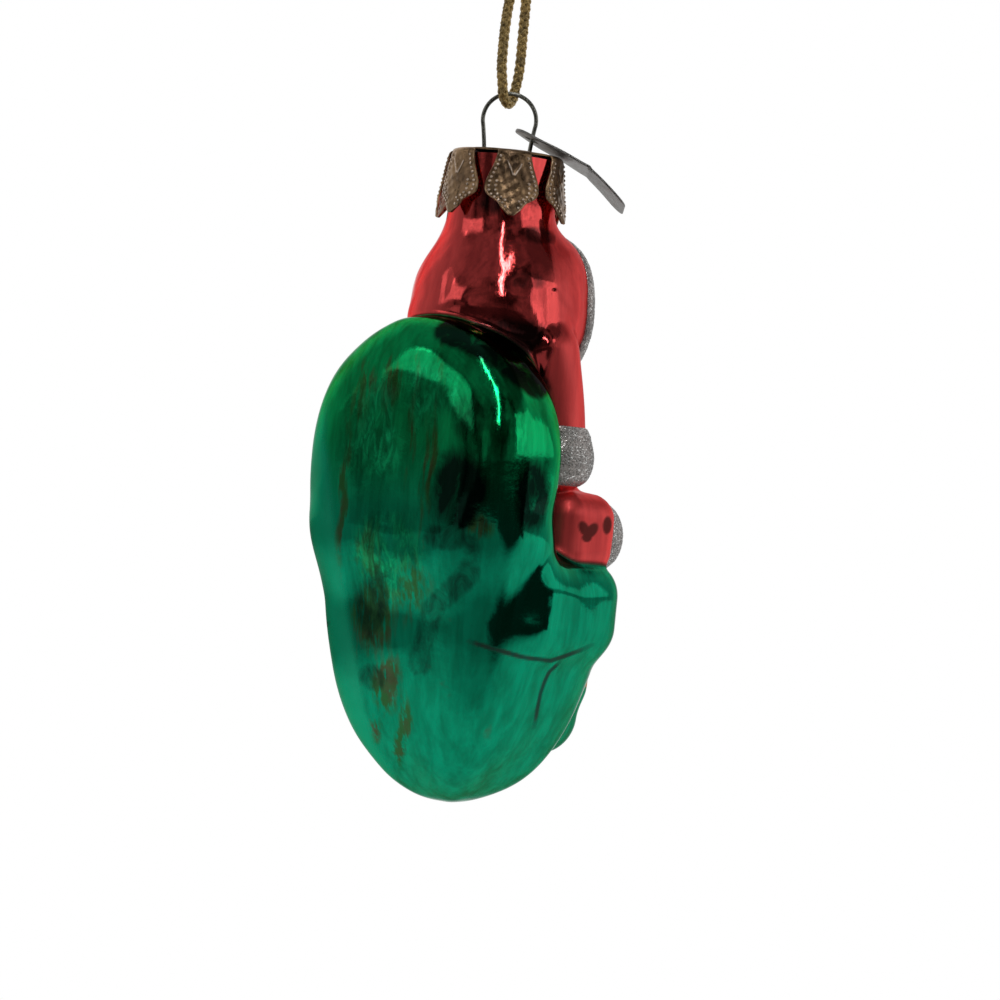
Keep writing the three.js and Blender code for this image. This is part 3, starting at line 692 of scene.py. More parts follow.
# Strokes of paint on the side of the chair, as right and height: a long one and one down from its fork
STROKES = [
    (((1, 22.9), (5.2, 22), (8.4, 21.3), (12.1, 21), (13.9, 21.7), (16, 22.6), (17.5, 23.4)), 0.42),
    (((13.3, 20.8), (12, 19.4), (11.5, 18), (11.1, 16.3), (10.9, 14), (10.7, 11.6)), 0.36),
]
# Dark brown marks painted on the mitten: right, height, half width, half height, lean
MARKS = [
    (15.0, 38.9, 0.75, 1.0, 0.3), (16.1, 38.7, 0.8, 1.1, -0.35), (15.5, 37.7, 0.7, 0.6, 0),
    (18.2, 39.6, 0.65, 1.25, 0),
]
# Where the green lacquer ran thin: right, height, half width, half height, strength
RUNS = [
    (-5.9, 49, 0.5, 12, 0.5), (-6.9, 44, 0.35, 9, 0.4), (0.7, 38.1, 2.0, 1.6, 0.6),
    (-6.8, 9.5, 0.9, 4.5, 0.8), (-11, 7.5, 1.2, 3, 0.7), (-17.6, 40, 0.55, 10, 0.8),
    (-9.0, 52, 0.5, 8, 0.5), (-16.2, 54, 1.4, 4.5, 0.6), (-12.4, 55.6, 1.2, 3.4, 0.7),
    (-11.9, 25, 2.4, 4.4, 1.0), (-9.4, 15.8, 1.6, 3.2, 1.0), (-13.2, 33, 1.6, 3.6, 0.7),
    (-7.6, 29, 2.6, 4.5, 0.5),
]
# Dark reflections painted into the lacquer as dark patches: right, height, half width, half height, strength
PAINTED_DARK_REFLECTIONS = [
    (-1.9, 42.3, 3.6, 5.2, 1), (7.6, 42.4, 2.1, 4.6, 1), (-3.2, 36.2, 3.0, 1.8, 0.7),
    (2.4, 63.6, 5.4, 2.6, 1), (-1.3, 82, 1.8, 2.2, 0.9), (5.4, 77.8, 2.4, 1.2, 0.8),
    (4.4, 71.3, 2.4, 1.2, 0.7),
    (-12.4, 26.4, 2.2, 4.4, 0.72), (-11.6, 16.4, 2.0, 1.9, 0.66), (-1.4, 52.3, 2.4, 3.4, 0.6),
]
# Dark reflections painted in bands along the top of the chair and down its back: a chain of right and height,
# half width, strength
PAINTED_DARK_BANDS = [
    (((-5.4, 63.2), (-1.2, 62), (2.5, 59.9), (6.9, 57.2)), 1.7, 1),
    (((0.9, 38.3), (0.3, 31.6), (-4.3, 26.7), (-5.3, 19)), 1.4, 0.52),
]
# Where the green ran down in strands
STRANDS = [(-10.9, 33.1, 4.2, 5.5, 1), (-7.2, 54.4, 3.8, 4, 1), (-14.3, 48.5, 3.6, 7, 1)]
# Where the smooth flank of the chair gives way to its back: heights, and right there
FLANK_LINE = (
    (0, 3.4, 7.3, 12.7, 20.8, 26.2, 31.6, 39.7, 47.8),
    (-6, -7.6, -10.3, -12.3, -14.4, -15.9, -17.3, -19, -20.6),
)
# Painted on the face, as across and height: closed eyelids, mouth, and the middles of the cheeks' blush
EYELID = ((1.5, 67.9), (2.0, 67.4), (2.8, 67.2), (3.6, 67.45), (4.1, 68.0))
LASHES = (((2.05, 67.4), (1.9, 66.95)), ((2.8, 67.2), (2.8, 66.7)), ((3.55, 67.4), (3.75, 66.95)))
MOUTH = ((0, 61.35), (0.7, 61.5), (1.2, 61.8))
BLUSH = (3.4, 65.2, 1.9, 1.6)
NOSE_TIP = (0, 66.2, 1.5, 1.5)
# How soft the edge between two paints is, and the height where the boots start
PAINT_EDGE = 0.2
BOOT_TOP = (19.5, 18.9)


def paint_glass(body, points):
    """Which lacquer lies where, as masks on the points of the outer skin."""
    x, y, z = points.T
    p = (np.abs(x), y, z)
    right, away = seen_place(x, y)
    u = side_place(x, y)
    facing = smoothstep(2, -2, away)
    in_front = y < -9

    def paint(name, values, inside=0.0):
        full = np.full(len(body.data.vertices), inside)
        full[:len(points)] = values
        mask(body, name, full)

    def nearer(first, second):
        """1 where the second form lies nearer to the glass than the first."""
        return smoothstep(-PAINT_EDGE, PAINT_EDGE, first - second)

    def patches(table):
        total = np.zeros_like(x)
        for *place, strength in table:
            total = np.maximum(total, strength * smoothstep(1.45, 0.65, oval(right, z, *place)))
        return total * facing

    sitter, seat = santa(p), chair(p)
    green = nearer(sitter, seat)
    face = np.minimum(join(ball(p, FACE), ball(p, CHEEK), 0.9), join(ball(p, NOSE), limb(p, BROW), 0.5))
    hairy = np.minimum(ball(p, BEARD), limb(p, MOUSTACHE))
    others = np.minimum(trim_roll(p), np.maximum(ball(p, HOOD), -ball(p, HOOD_OPENING)))
    brows = smoothstep(0.42, 0.2, limb(p, BROW)) * in_front
    skin = nearer(np.minimum(hairy, others), face) * (y < -6) * (1 - brows)
    beard = nearer(np.minimum(np.minimum(face, others), coat(p)), hairy) * (y < -5)
    beard = np.maximum(beard, brows)
    low = smoothstep(*BOOT_TOP, z) * (1 - green)
    behind = VIEW_AWAY[0] * (p[0] - BOOT[0][0]) - VIEW_AWAY[1] * (y - BOOT[0][1])
    boots = low * (y < -6) * smoothstep(-0.6, -1.0, behind - 2.2 * smoothstep(16, 17.5, z))
    green = green + low - boots
    strokes = np.zeros_like(x)
    for line, width in STROKES:
        gap, share = line_gap(u, z, line)
        ends = smoothstep(0, 0.08, share) * smoothstep(1, 0.8, share)
        strokes = np.maximum(strokes, smoothstep(width, width * 0.45, gap) * (0.35 + 0.65 * ends))
    marks = np.zeros_like(x)
    for *place, lean in MARKS:
        leaning = u + lean * (z - place[1])
        marks = np.maximum(marks, smoothstep(1.15, 0.8, oval(leaning, z, *place)))
    runs = np.zeros_like(x)
    for *place, strength in RUNS:
        swaying = right - 0.3 * np.sin(z * 0.7)
        runs = np.maximum(runs, strength * np.exp(-oval(swaying, z, *place) ** 2))
    # Painted dark reflections: patches where the lacquer is painted nearly black
    painted_dark_reflection = patches(PAINTED_DARK_REFLECTIONS)
    # Painted dark reflections, also in bands along the top and back of the chair
    for line, half, strength in PAINTED_DARK_BANDS:
        band = smoothstep(1.5 * half, 0.7 * half, line_gap(right, z, line)[0])
        painted_dark_reflection = np.maximum(painted_dark_reflection, strength * band * facing)
    lines = line_gap(p[0], z, EYELID)[0] / 0.30
    for lash in LASHES:
        lines = np.minimum(lines, line_gap(p[0], z, lash)[0] / 0.2)
    flank = smoothstep(0.5, -0.9, right - np.interp(z, *FLANK_LINE)) * smoothstep(57, 44, z)
    cheeks = smoothstep(1.2, 0.1, oval(p[0], z, *BLUSH))
    blush = np.maximum(cheeks, smoothstep(1.2, 0.2, oval(x, z, *NOSE_TIP)))
    paint("painted_dark_reflection", painted_dark_reflection)
    paint("strands", patches(STRANDS))
    paint("flank", flank * green)
    paint("eyes", smoothstep(1.1, 0.6, lines) * in_front * skin)
    paint("mouth", smoothstep(0.55, 0.3, line_gap(p[0], z, MOUTH)[0]) * in_front)
    paint("blush", blush * skin)
    paint("green", green)
    paint("skin", skin * (1 - beard))
    paint("beard", beard)
    paint("boots", boots)
    paint("strokes", strokes * green * (y < 17) * smoothstep(8, 10, p[0]))
    paint("marks", marks * (1 - green) * (z < 42) * (z > 35) * (y < 0))
    paint("runs", runs * facing)
    # Painted shade: the join of Santa and the chair is darkened
    paint("seam_shade", smoothstep(0.55, 0.1, np.abs(sitter - seat)))
    paint("soft", smoothstep(-0.3, 0.5, u - np.interp(z, *SIDE_LINE)) * (1 - green))
    paint("teal", smoothstep(52, 34, z))
    paint("silver", 0.0, 1.0)


# Glitter coats

COAT_THICKNESS = 0.5
CUFF_BAND = SimpleNamespace(low=44.4, high=52.4, start=-38, end=4)
HEM_BAND = SimpleNamespace(low=33.6, high=42.8, start=-137, end=-43)


def grain(points, scale, seed):
    """Cheap repeatable noise in 0..1 from the places of points."""
    q = points * scale + seed
    value = np.sin(q[..., 0] * 12.9898 + q[..., 1] * 78.233 + q[..., 2] * 37.719) * 43758.5453
    return value - np.floor(value)


def make_coat(node, place, rows, cols, glitter):
    share = np.linspace(0, 1, rows)[:, None] * np.ones((1, cols))
    across = np.linspace(-1, 1, cols)[None] * np.ones((rows, 1))
    turn, height = place(share, across)
    direction = (np.cos(turn), np.sin(turn), np.zeros_like(turn))
    reach = reach_of(height, direction)
    rim = np.minimum((1 - np.abs(across)) * 4, np.minimum(share, 1 - share) * 40)
    lift = np.sqrt(np.clip(rim, 0, 1))
    seat = ray_points(direction, height, reach - 0.25)
    speck = grain(np.round(seat, 2), 1.0, 0.37)
    top = ray_points(direction, height, reach + COAT_THICKNESS * lift + 0.16 * (speck - 0.4) * lift)
    parts = Parts()
    n = rows * cols
    index = np.arange(n).reshape(rows, cols)
    edge = np.concatenate([index[0], index[1:, -1], index[-1, -2::-1], index[-2:0:-1, 0]])
    following = np.roll(edge, -1)
    sides = np.stack([edge, edge + n, following + n, following], axis=1)
    points = np.concatenate([top.reshape(-1, 3), seat.reshape(-1, 3)])
    parts.add(lowered(points), grid_faces(rows, cols), grid_faces(rows, cols, flip=True) + n, sides)
    dress(parts.make(f"{node}_fine"), "figure", node, glitter)


def trim_place(share, across):
    a = np.radians(TRIM_ENDS[0] + (TRIM_ENDS[1] - TRIM_ENDS[0]) * share)
    grow = 1 + (TRIM.band * across + 0.25 * (1 + across)) / TRIM.half_width
    x = TRIM.half_width * grow * np.cos(a)
    return np.arctan2(-TRIM.depth, x), TRIM.middle + TRIM.half_height * grow * np.sin(a)


def band_place(band, mirrored=False):
    def place(share, across):
        turn = np.radians(band.start + (band.end - band.start) * share)
        height = (band.low + band.high) / 2 + (band.high - band.low) / 2 * across
        return (math.pi - turn if mirrored else turn), height
    return place


def make_coats(glitter):
    make_coat("hood_trim_glitter", trim_place, 420, 34, glitter)
    for side in ("left", "right"):
        make_coat(f"{side}_cuff_glitter", band_place(CUFF_BAND, side == "right"), 90, 70, glitter)
    make_coat("coat_hem_glitter", band_place(HEM_BAND), 300, 80, glitter)


# Crown cap, in its own frame: z is 0 on its top

CAP_RADIUS = 8.1
CAP_SHEET = 0.35
CAP_FOLD = 0.75
CAP_DISC = CAP_RADIUS - CAP_FOLD
CAP_SIDES = 180
PETAL_COUNT = 6
PETAL_LENGTH = 9.1
PETAL_FLARE = 1.1
PETAL_TURN = 9
PETAL_HALF_WIDTHS = [
    (0.08, 2.45), (0.27, 2.9), (0.39, 3.36), (0.52, 3.75), (0.63, 3.75),
    (0.7, 3.4), (0.76, 2.6), (0.81, 1.8), (0.9, 1.25), (1, 0.35),
]
BEAD_SPACING = 0.62
BEAD_RADIUS = 0.19
BEAD_HEIGHT = 0.16
# How each petal was bent by hand: its sides pressed in, its tip stood out, its turn in degrees
PETAL_BENDS = [
    (0.10, 0.0, 0), (0.25, 0.15, 1.5), (-0.1, 0.1, -2), (0.3, -0.1, 1), (0.2, 0.5, -1), (0.3, 0.05, 0.5),
]
LEG_SPACING = 6.2
WIRE_DIAMETER = 0.58
WIRE_HOLE = 0.54


def raised(points, height):
    points = np.asarray(points, dtype=float).copy()
    points[..., 2] += height
    return turned(points)


def petal_half_width(share):
    """The stamped outline with its corners eased."""
    at, width = np.array(PETAL_HALF_WIDTHS).T
    spread = np.linspace(-0.025, 0.025, 7)
    eased = np.mean([np.interp(share + d, at, width) for d in spread], axis=0)
    return np.where(share > 0.97, np.interp(share, at, width), eased)


def bead_places():
    """Stamped beads: one row inside the edge, a second one in the lower part, as across and drop."""
    places = []
    for inset, start, end in ((0.62, 0.12, 0.90), (1.5, 0.50, 0.80)):
        share = np.linspace(start, end, 400)
        across = petal_half_width(share) - inset
        keep = across > 0.02
        line = np.stack([across[keep], share[keep] * PETAL_LENGTH], axis=1)
        steps = along_path(line)
        for at in np.arange(0, steps[-1], BEAD_SPACING):
            a, d = np.interp(at, steps, line[:, 0]), np.interp(at, steps, line[:, 1])
            places += [(a, d), (-a, d)]
    return places


def petal_relief(drop, across, half):
    """Beads, a fine rolled edge and two slanting ridges near the fold."""
    relief = np.zeros_like(drop)
    for a, d in bead_places():
        q = ((across - a) ** 2 + (drop - d) ** 2) / BEAD_RADIUS ** 2
        relief = np.maximum(relief, BEAD_HEIGHT * np.sqrt(np.clip(1 - q, 0, 1)))
    for ridge in (((-0.95, 1.7), (-0.12, 3.5)), ((1.0, 2.0), (0.2, 3.5))):
        gap, _ = line_gap(across, drop, ridge)
        relief = np.maximum(relief, 0.13 * np.exp(-(gap / 0.14) ** 2))
    edge = half - np.abs(across)
    relief += 0.05 * np.exp(-((edge - 0.12) / 0.12) ** 2) * (drop > CAP_FOLD)
    hollow = 0.07 * np.exp(-(across / 1.1) ** 2 - ((drop - 6.1) / 1.0) ** 2)
    dimples = 0.035 * np.sin(across * 4.1 + 1.2 * drop) * np.sin(drop * 3.3 - across) * (drop > CAP_FOLD)
    return relief - hollow + dimples


def add_petal(parts, heading, press, extra):
    """One sheet from the disc over the fold and down to the tip; rows run down, columns across."""
    lean = np.radians(np.linspace(90, 0, 14))
    bend = CAP_FOLD - CAP_SHEET / 2
    share = np.linspace(CAP_FOLD / PETAL_LENGTH, 1, 170)[1:]
    r = np.concatenate([[CAP_DISC - 0.5], CAP_DISC + bend * np.cos(lean),
                        CAP_RADIUS - CAP_SHEET / 2 + (PETAL_FLARE + extra) * share ** 2])
    z = np.concatenate([[-CAP_SHEET / 2], -CAP_FOLD + bend * np.sin(lean), -PETAL_LENGTH * share])
    tilt = np.concatenate([[math.pi / 2], lean, np.zeros(len(share))])
    share = np.concatenate([[0], np.linspace(0, CAP_FOLD / PETAL_LENGTH, 14), share])
    rows, cols = len(r), 100
    side = np.sin(np.linspace(-1, 1, cols) * math.pi / 2)[None] * np.ones((rows, 1))
    half = petal_half_width(share)[:, None]
    across, drop = side * half, share[:, None] * PETAL_LENGTH * np.ones((1, cols))
    turn = math.radians(heading) + across / CAP_RADIUS
    edge = np.minimum((1 - np.abs(side)) * half, (1 - share[:, None]) * PETAL_LENGTH)
    rim = np.sqrt(np.clip(edge / 0.16, 0, 1))
    relief = petal_relief(drop, across, half)
    bow = press * (share[:, None] ** 2) * side ** 2
    straight = 0.5 * CAP_RADIUS * (1 - np.cos(across / CAP_RADIUS)) * smoothstep(2.5, 0.5, drop)

    def place(offset):
        out = r[:, None] - bow - straight + offset * np.cos(tilt)[:, None]
        height = z[:, None] + offset * np.sin(tilt)[:, None]
        return np.stack([out * np.cos(turn), out * np.sin(turn), height * np.ones((1, cols))], axis=-1)

    thick = CAP_SHEET / 2 * rim
    for offset, flip, sign in ((thick + relief * rim, False, 1), (-thick + 0.7 * relief * rim, True, -1)):
        parts.add(raised(place(offset), CAP_TOP), grid_faces(rows, cols, flip=not flip))
        parts.relief.append((sign * relief).ravel())


def add_disc(parts):
    """The flat top with a rounded edge, and rolled holes for the wire."""
    edge = np.radians(np.linspace(90, -90, 9))
    half = CAP_SHEET / 2
    radii = np.linspace(0.02, CAP_DISC - half, 90)
    profile = [(r, 0) for r in radii]
    profile += [(CAP_DISC - half + half * math.cos(a), half * (math.sin(a) - 1)) for a in edge[1:-1]]
    profile += [(r, -CAP_SHEET) for r in radii[::-1]]
    profile = np.array(profile)
    turn = full_turn(CAP_SIDES)
    x = profile[:, 0][:, None] * np.cos(turn)
    y = profile[:, 0][:, None] * np.sin(turn)
    z = np.repeat(profile[:, 1][:, None], CAP_SIDES, axis=1) + 0.04 * np.sin(x * 0.6) * np.cos(y * 0.5)
    points = np.stack([x, y, z], axis=-1)
    faces = grid_faces(len(profile), CAP_SIDES, wrap=True, flip=True)
    middles = points.reshape(-1, 3)[faces].mean(axis=1)
    clear = np.ones(len(faces), dtype=bool)
    for way in (-1, 1):
        clear &= np.hypot(middles[:, 0] - way * LEG_SPACING / 2, middles[:, 1]) > WIRE_HOLE + 0.08
    parts.add(raised(points, CAP_TOP), faces[clear])
    for way in (-1, 1):
        a = np.linspace(0, 2 * math.pi, 40)
        ring = WIRE_HOLE + 0.12
        rim = np.stack([way * LEG_SPACING / 2 + ring * np.cos(a), ring * np.sin(a), 0 * a - half], axis=1)
        add_tube(parts, raised(rim, CAP_TOP), half * 1.15, 12)
    parts.relief.append(np.zeros(parts.count))


def make_cap(gold):
    parts = Parts()
    parts.relief = []
    add_disc(parts)
    for i, (press, extra, skew) in enumerate(PETAL_BENDS):
        add_petal(parts, PETAL_TURN + skew - 90 + 360 * i / PETAL_COUNT, press, extra)
    cap = dress(parts.make("antique_cap"), "cap_assembly", "crown_cap", gold)
    mask(cap, "relief", np.concatenate(parts.relief))


# Ring of spring wire

RING_RADIUS = 3.65
RING_LIFT = 4.7
RING_OPEN_ANGLE = 105
LEG_LENGTH = 14
LEG_TIP = NECK_RADIUS - WALL - 0.35 - WIRE_DIAMETER / 2


def make_ring(steel):
    tip, near = LEG_TIP, LEG_SPACING / 2
    middle = tip - (tip - near) * 0.45
    leg = [(tip, 0, -LEG_LENGTH), (middle, 0, -LEG_LENGTH / 2), (near, 0, -2.2), (near, 0, 0.3)]
    arc = [
        (RING_RADIUS * math.sin(a), 0, RING_LIFT + RING_RADIUS * math.cos(a))
        for a in np.radians(np.linspace(RING_OPEN_ANGLE, -RING_OPEN_ANGLE, 25))
    ]
    mirrored = [(-x, y, z) for x, y, z in reversed(leg)]
    path = smooth_path(leg + arc + mirrored, 420)
    parts = Parts()
    add_tube(parts, raised(path, CAP_TOP), WIRE_DIAMETER / 2, 20)
    dress(parts.make("spring_ring"), "cap_assembly", "wire_loop", steel)


# Tag: its outline runs along x from its hole, in its own tilted frame

TAG_LENGTH = 18.6
TAG_WIDTH = 8
TAG_SHEET = 0.35
TAG_HOLE = 2.0
TAG_HOLE_INSET = 2.6
TAG_CREASE = 8.5
TAG_BEND = 17
TAG_TWIST = -6
TAG_HOLE_HEIGHT = 2.4
TAG_RIM_GAP = 0.3


def tag_half_width(along):
    near = np.clip(1 - (along + TAG_HOLE_INSET) / (TAG_WIDTH * 0.5), 0, 1)
    far = np.clip(1 - (TAG_LENGTH - TAG_HOLE_INSET - along) / (TAG_WIDTH * 0.3), 0, 1)
    hole_end = 0.12 + 0.88 * np.sqrt(np.clip(1 - near ** 2, 0, 1))
    far_end = 0.6 + 0.4 * np.sqrt(np.clip(1 - far ** 2, 0, 1))
    return TAG_WIDTH / 2 * np.minimum(hole_end, far_end)


def tag_surface(along, across, lift):
    """Bends the flat sheet at its crease and lays it from the ring onto the rim of the cap."""
    past = np.maximum(0, along - TAG_CREASE)
    turn = math.radians(TAG_BEND) * smoothstep(0, 0.9, past)
    twist = math.radians(TAG_TWIST) * np.maximum(0, along) / (TAG_LENGTH - TAG_HOLE_INSET)
    c, s = np.cos(twist), np.sin(twist)
    across, lift = across * c - lift * s, lift * c + across * s
    x = along - past + past * np.cos(turn) - lift * np.sin(turn)
    z = lift * np.cos(turn) - past * np.sin(turn)
    leaves = math.radians(RING_OPEN_ANGLE)
    leg_start = (RING_RADIUS * math.sin(leaves), RING_LIFT + RING_RADIUS * math.cos(leaves))
    side = LEG_SPACING / 2
    hole = (side + (leg_start[0] - side) * TAG_HOLE_HEIGHT / leg_start[1], TAG_HOLE_HEIGHT)
    to_rim = (CAP_RADIUS - CAP_FOLD - hole[0], -CAP_FOLD - hole[1])
    stand_off = CAP_FOLD + TAG_RIM_GAP + TAG_SHEET / 2
    slope = math.atan2(to_rim[1], to_rim[0]) + math.asin(stand_off / math.hypot(*to_rim))
    c, s = math.cos(slope), math.sin(slope)
    points = np.stack([hole[0] + c * x - s * z, across, hole[1] + s * x + c * z], axis=-1)
    return raised(points, CAP_TOP)


def tag_outline(count):
    far = TAG_LENGTH - TAG_HOLE_INSET
    share = (1 - np.cos(np.linspace(0, math.pi, count))) / 2
    along = -TAG_HOLE_INSET + (far + TAG_HOLE_INSET) * share
    half = tag_half_width(along)
    side = np.stack([along, half], axis=1)
    end = np.linspace(half[-1], -half[-1], 12)[1:-1]
    back = np.stack([along, -half], axis=1)[::-1]
    start = np.linspace(-half[0], half[0], 6)[1:-1]
    loop = [side, np.stack([np.full(10, far), end], axis=1), back,
            np.stack([np.full(4, -TAG_HOLE_INSET), start], axis=1)]
    return np.vstack(loop)


def make_tag(metal):
    """Rings of points from the hole out to the outline, on both faces, with rounded edges."""
    outline = tag_outline(120)
    turn = np.arctan2(outline[:, 1], outline[:, 0])
    hole = TAG_HOLE / 2 * np.stack([np.cos(turn), np.sin(turn)], axis=1)
    count = len(outline)
    rings = []
    half = TAG_SHEET / 2
    for a in np.radians(np.linspace(0, 90, 6)):
        rings.append((hole * (1 + 0.12 * (1 - math.cos(a))), half * math.sin(a)))
    for share in np.linspace(0.03, 0.97, 60):
        rings.append((hole * 1.12 + (outline * 0.985 - hole * 1.12) * share, half))
    for a in np.radians(np.linspace(90, 0, 6)):
        rings.append((outline * (1 - 0.015 * (1 - math.cos(a))), half * math.sin(a)))
    rings += [(flat, -lift) for flat, lift in reversed(rings[:-1])]
    flat = np.array([r[0] for r in rings])
    lift = np.repeat(np.array([r[1] for r in rings])[:, None], count, axis=1)
    wave = 0.05 * np.sin(flat[..., 0] * 0.9 + 0.6) * np.cos(flat[..., 1] * 0.7)
    points = tag_surface(flat[..., 0], flat[..., 1], lift + wave)
    parts = Parts()
    parts.add(points, grid_faces(len(rings), count, wrap=True))
    dress(parts.make("sheet_tag"), "tag", "hang_tag", metal)


# Knot of the cord, above the picture

KNOT_RADIUS = 1.55
KNOT_TAIL = 6.5


def make_knot(gold):
    parts = Parts()
    middle = KNOT_RADIUS + CORD_DIAMETER / 2
    for x, y, _ in (CORD_POINTS[0], CORD_POINTS[-1]):
        stub = [(x, y, 0), (x * 0.9, y * 0.9, middle * 0.6), (0, 0, middle)]
        add_braid(parts, turned(smooth_path(stub, 40)))
    a = np.linspace(0, 2 * math.pi, 160)
    wrap = KNOT_RADIUS * 1.02 * np.stack([np.cos(a), np.sin(a), 0 * a], axis=1)
    for tilt_x, tilt_y, height in ((24, 10, middle - 0.75), (-22, -14, middle + 0.7), (68, 35, middle)):
        tilt = Matrix.Rotation(math.radians(tilt_y), 3, "Y") @ Matrix.Rotation(math.radians(tilt_x), 3, "X")
        add_braid(parts, turned(wrap @ np.array(tilt).T + [0, 0, height]))
    tail = np.array([
        (0.5, 0.4, middle + 0.5), (0.8, 0.7, middle * 2 + 0.3), (1.7, 1.1, middle * 2 + KNOT_TAIL * 0.55),
        (2.3, 1.2, middle * 2 + KNOT_TAIL),
    ])
    for side in (-1, 1):
        add_braid(parts, turned(smooth_path(tail * (side, side, 1), 110)), CORD_DIAMETER * 0.94)
    dress(parts.make("cord_knot_braid"), "hanging_loop", "cord_knot", gold)


# Materials

def lacquered_glass():
    """Silvered glass under transparent red and green lacquers that ran while wet."""
    m = Material("lacquered_glass")
    streaks = m.noise((520, 520, 60), 4, 0.62, 0.3)
    cloud = m.noise(170, 4, 0.6)
    fine = m.noise((1500, 1500, 210), 3, 0.6)
    upper = m.ramp(streaks, (0.34, (0.0008, 0.20, 0.055)), (0.64, (0.0015, 0.36, 0.105)))
    lower = m.ramp(streaks, (0.34, (0.0005, 0.18, 0.09)), (0.64, (0.0008, 0.285, 0.15)))
    green = m.over("teal", upper, lower)
    thin = m.times(m.attribute("runs"), m.ramp(fine, (0.36, 0.15), (0.58, 1.5)))
    thin = m.math("ADD", thin, m.ramp(cloud, (0.64, 0.0), (0.78, 0.35)))
    bare = m.ramp(cloud, (0.46, (0.03, 0.085, 0.012)), (0.62, (0.07, 0.036, 0.014)))
    green = m.mix(m.ramp(thin, (0.12, 0.0), (0.55, 0.8)), green, bare)
    strand = m.ramp(
        m.noise((850, 850, 300), 4, 0.65, 0.9),
        (0.36, (0.001, 0.09, 0.03)), (0.5, (0.002, 0.26, 0.09)), (0.62, (0.008, 0.5, 0.18)),
    )
    green = m.over("strands", green, strand, m.ramp(cloud, (0.38, 0.15), (0.56, 0.75)))
    green = m.over("flank", green, m.ramp(cloud, (0.3, (0.006, 0.30, 0.15)), (0.7, (0.012, 0.36, 0.19))))
    # Painted dark reflections: the green and the red go nearly black where this mask is set
    torn = m.times(m.math("SUBTRACT", m.noise((420, 420, 210), 5, 0.66, 0.8)), 1.5)
    painted_dark_reflection = m.ramp(m.math("ADD", m.attribute("painted_dark_reflection"), torn), (0.24, 0.0), (0.95, 0.97))
    green = m.mix(painted_dark_reflection, green, (0.0025, 0.017, 0.011))
    stroke = m.ramp(fine, (0.4, (0.012, 0.07, 0.05)), (0.6, (0.03, 0.055, 0.04)))
    green = m.over("strokes", green, stroke, 0.92)
    red = m.ramp(streaks, (0.32, (0.58, 0.061, 0.061)), (0.66, (0.80, 0.089, 0.084)))
    red = m.mix(painted_dark_reflection, red, (0.05, 0.016, 0.016))
    red = m.over("marks", red, (0.11, 0.022, 0.02), 0.95)
    skin = m.ramp(cloud, (0.3, (0.80, 0.44, 0.32)), (0.7, (0.90, 0.55, 0.42)))
    skin = m.over("blush", skin, (0.80, 0.20, 0.16), 0.6)
    skin = m.over("eyes", skin, (0.03, 0.018, 0.014))
    beard = m.ramp(streaks, (0.3, (0.62, 0.61, 0.6)), (0.7, (0.86, 0.86, 0.85)))
    beard = m.over("mouth", beard, (0.42, 0.04, 0.04))
    boots = m.ramp(streaks, (0.3, (0.34, 0.15, 0.03)), (0.7, (0.56, 0.28, 0.07)))
    colour = red
    for name, paint in (("skin", skin), ("beard", beard), ("boots", boots), ("green", green)):
        colour = m.over(name, colour, paint)
    # Painted shade darkens the join of Santa and the chair
    colour = m.over("seam_shade", colour, (0.02, 0.01, 0.008), 0.7)
    colour = m.over("silver", colour, (0.75, 0.75, 0.74))
    matte = m.math("MAXIMUM", m.attribute("skin"), m.attribute("beard"))
    polish = m.ramp(m.noise(2600, 2, 0.5), (0.3, 0.07), (0.7, 0.13))
    for name, roughness in (("flank", 0.34), ("soft", 0.46), ("seam_shade", 0.6)):
        polish = m.over(name, polish, roughness)
    polish = m.mix(m.math("MAXIMUM", m.attribute("strokes"), m.attribute("marks")), polish, 0.5)
    m.feed(
        Base_Color=colour, Specular_Tint=m.mix(0.3, colour, 1.0), Roughness=m.mix(matte, polish, 0.45),
        Metallic=m.mix(matte, m.over("soft", 1.0, 0.95), 0.25), Coat_Weight=0.08, Coat_Roughness=0.05,
    )
    m.bump(m.math("ADD", m.noise(520, 3, 0.5), m.times(fine, 0.4)), 0.10, 0.0003)
    return m.material


def antique_gold():
    m = Material("antique_gold_cap")
    wear = m.noise(900, 4, 0.6)
    raised_spots = m.ramp(m.attribute("relief"), (0.05, 0.0), (0.11, 1.0))
    gold = m.ramp(m.noise(260, 3, 0.6), (0.32, (0.13, 0.083, 0.052)), (0.66, (0.37, 0.235, 0.125)))
    # Raised beads and ridges painted pale pink-gold: rubbed wear, and a painted highlight on them
    worn_and_highlit = m.mix(m.times(raised_spots, 0.8), gold, (0.85, 0.68, 0.55))
    pits = m.ramp(m.noise((2300, 2300, 1300), 3, 0.7), (0.57, 0.0), (0.66, 0.85))
    roughness = m.ramp(wear, (0.3, 0.26), (0.7, 0.42))
    m.feed(Base_Color=m.mix(pits, worn_and_highlit, (0.045, 0.03, 0.018)), Roughness=roughness, Metallic=1.0)
    m.bump(wear, 0.4, 0.00012)
    return m.material


def plain_metal(name, wear, dark, light, polish, bump):
    """Bare metal: its wear is a noise, and runs from dark to light and through a range of roughness."""
    m = Material(name)
    wear = m.noise(*wear)
    roughness = m.ramp(wear, (0.3, polish[0]), (0.7, polish[1]))
    m.feed(Base_Color=m.ramp(wear, (0.3, dark), (0.7, light)), Roughness=roughness, Metallic=1.0)
    m.bump(wear, *bump)
    return m.material


def spring_steel():
    dark, light = (0.14, 0.14, 0.12), (0.27, 0.265, 0.235)
    return plain_metal("ring_steel", (1500, 3, 0.6), dark, light, (0.2, 0.38), (0.2, 0.00005))


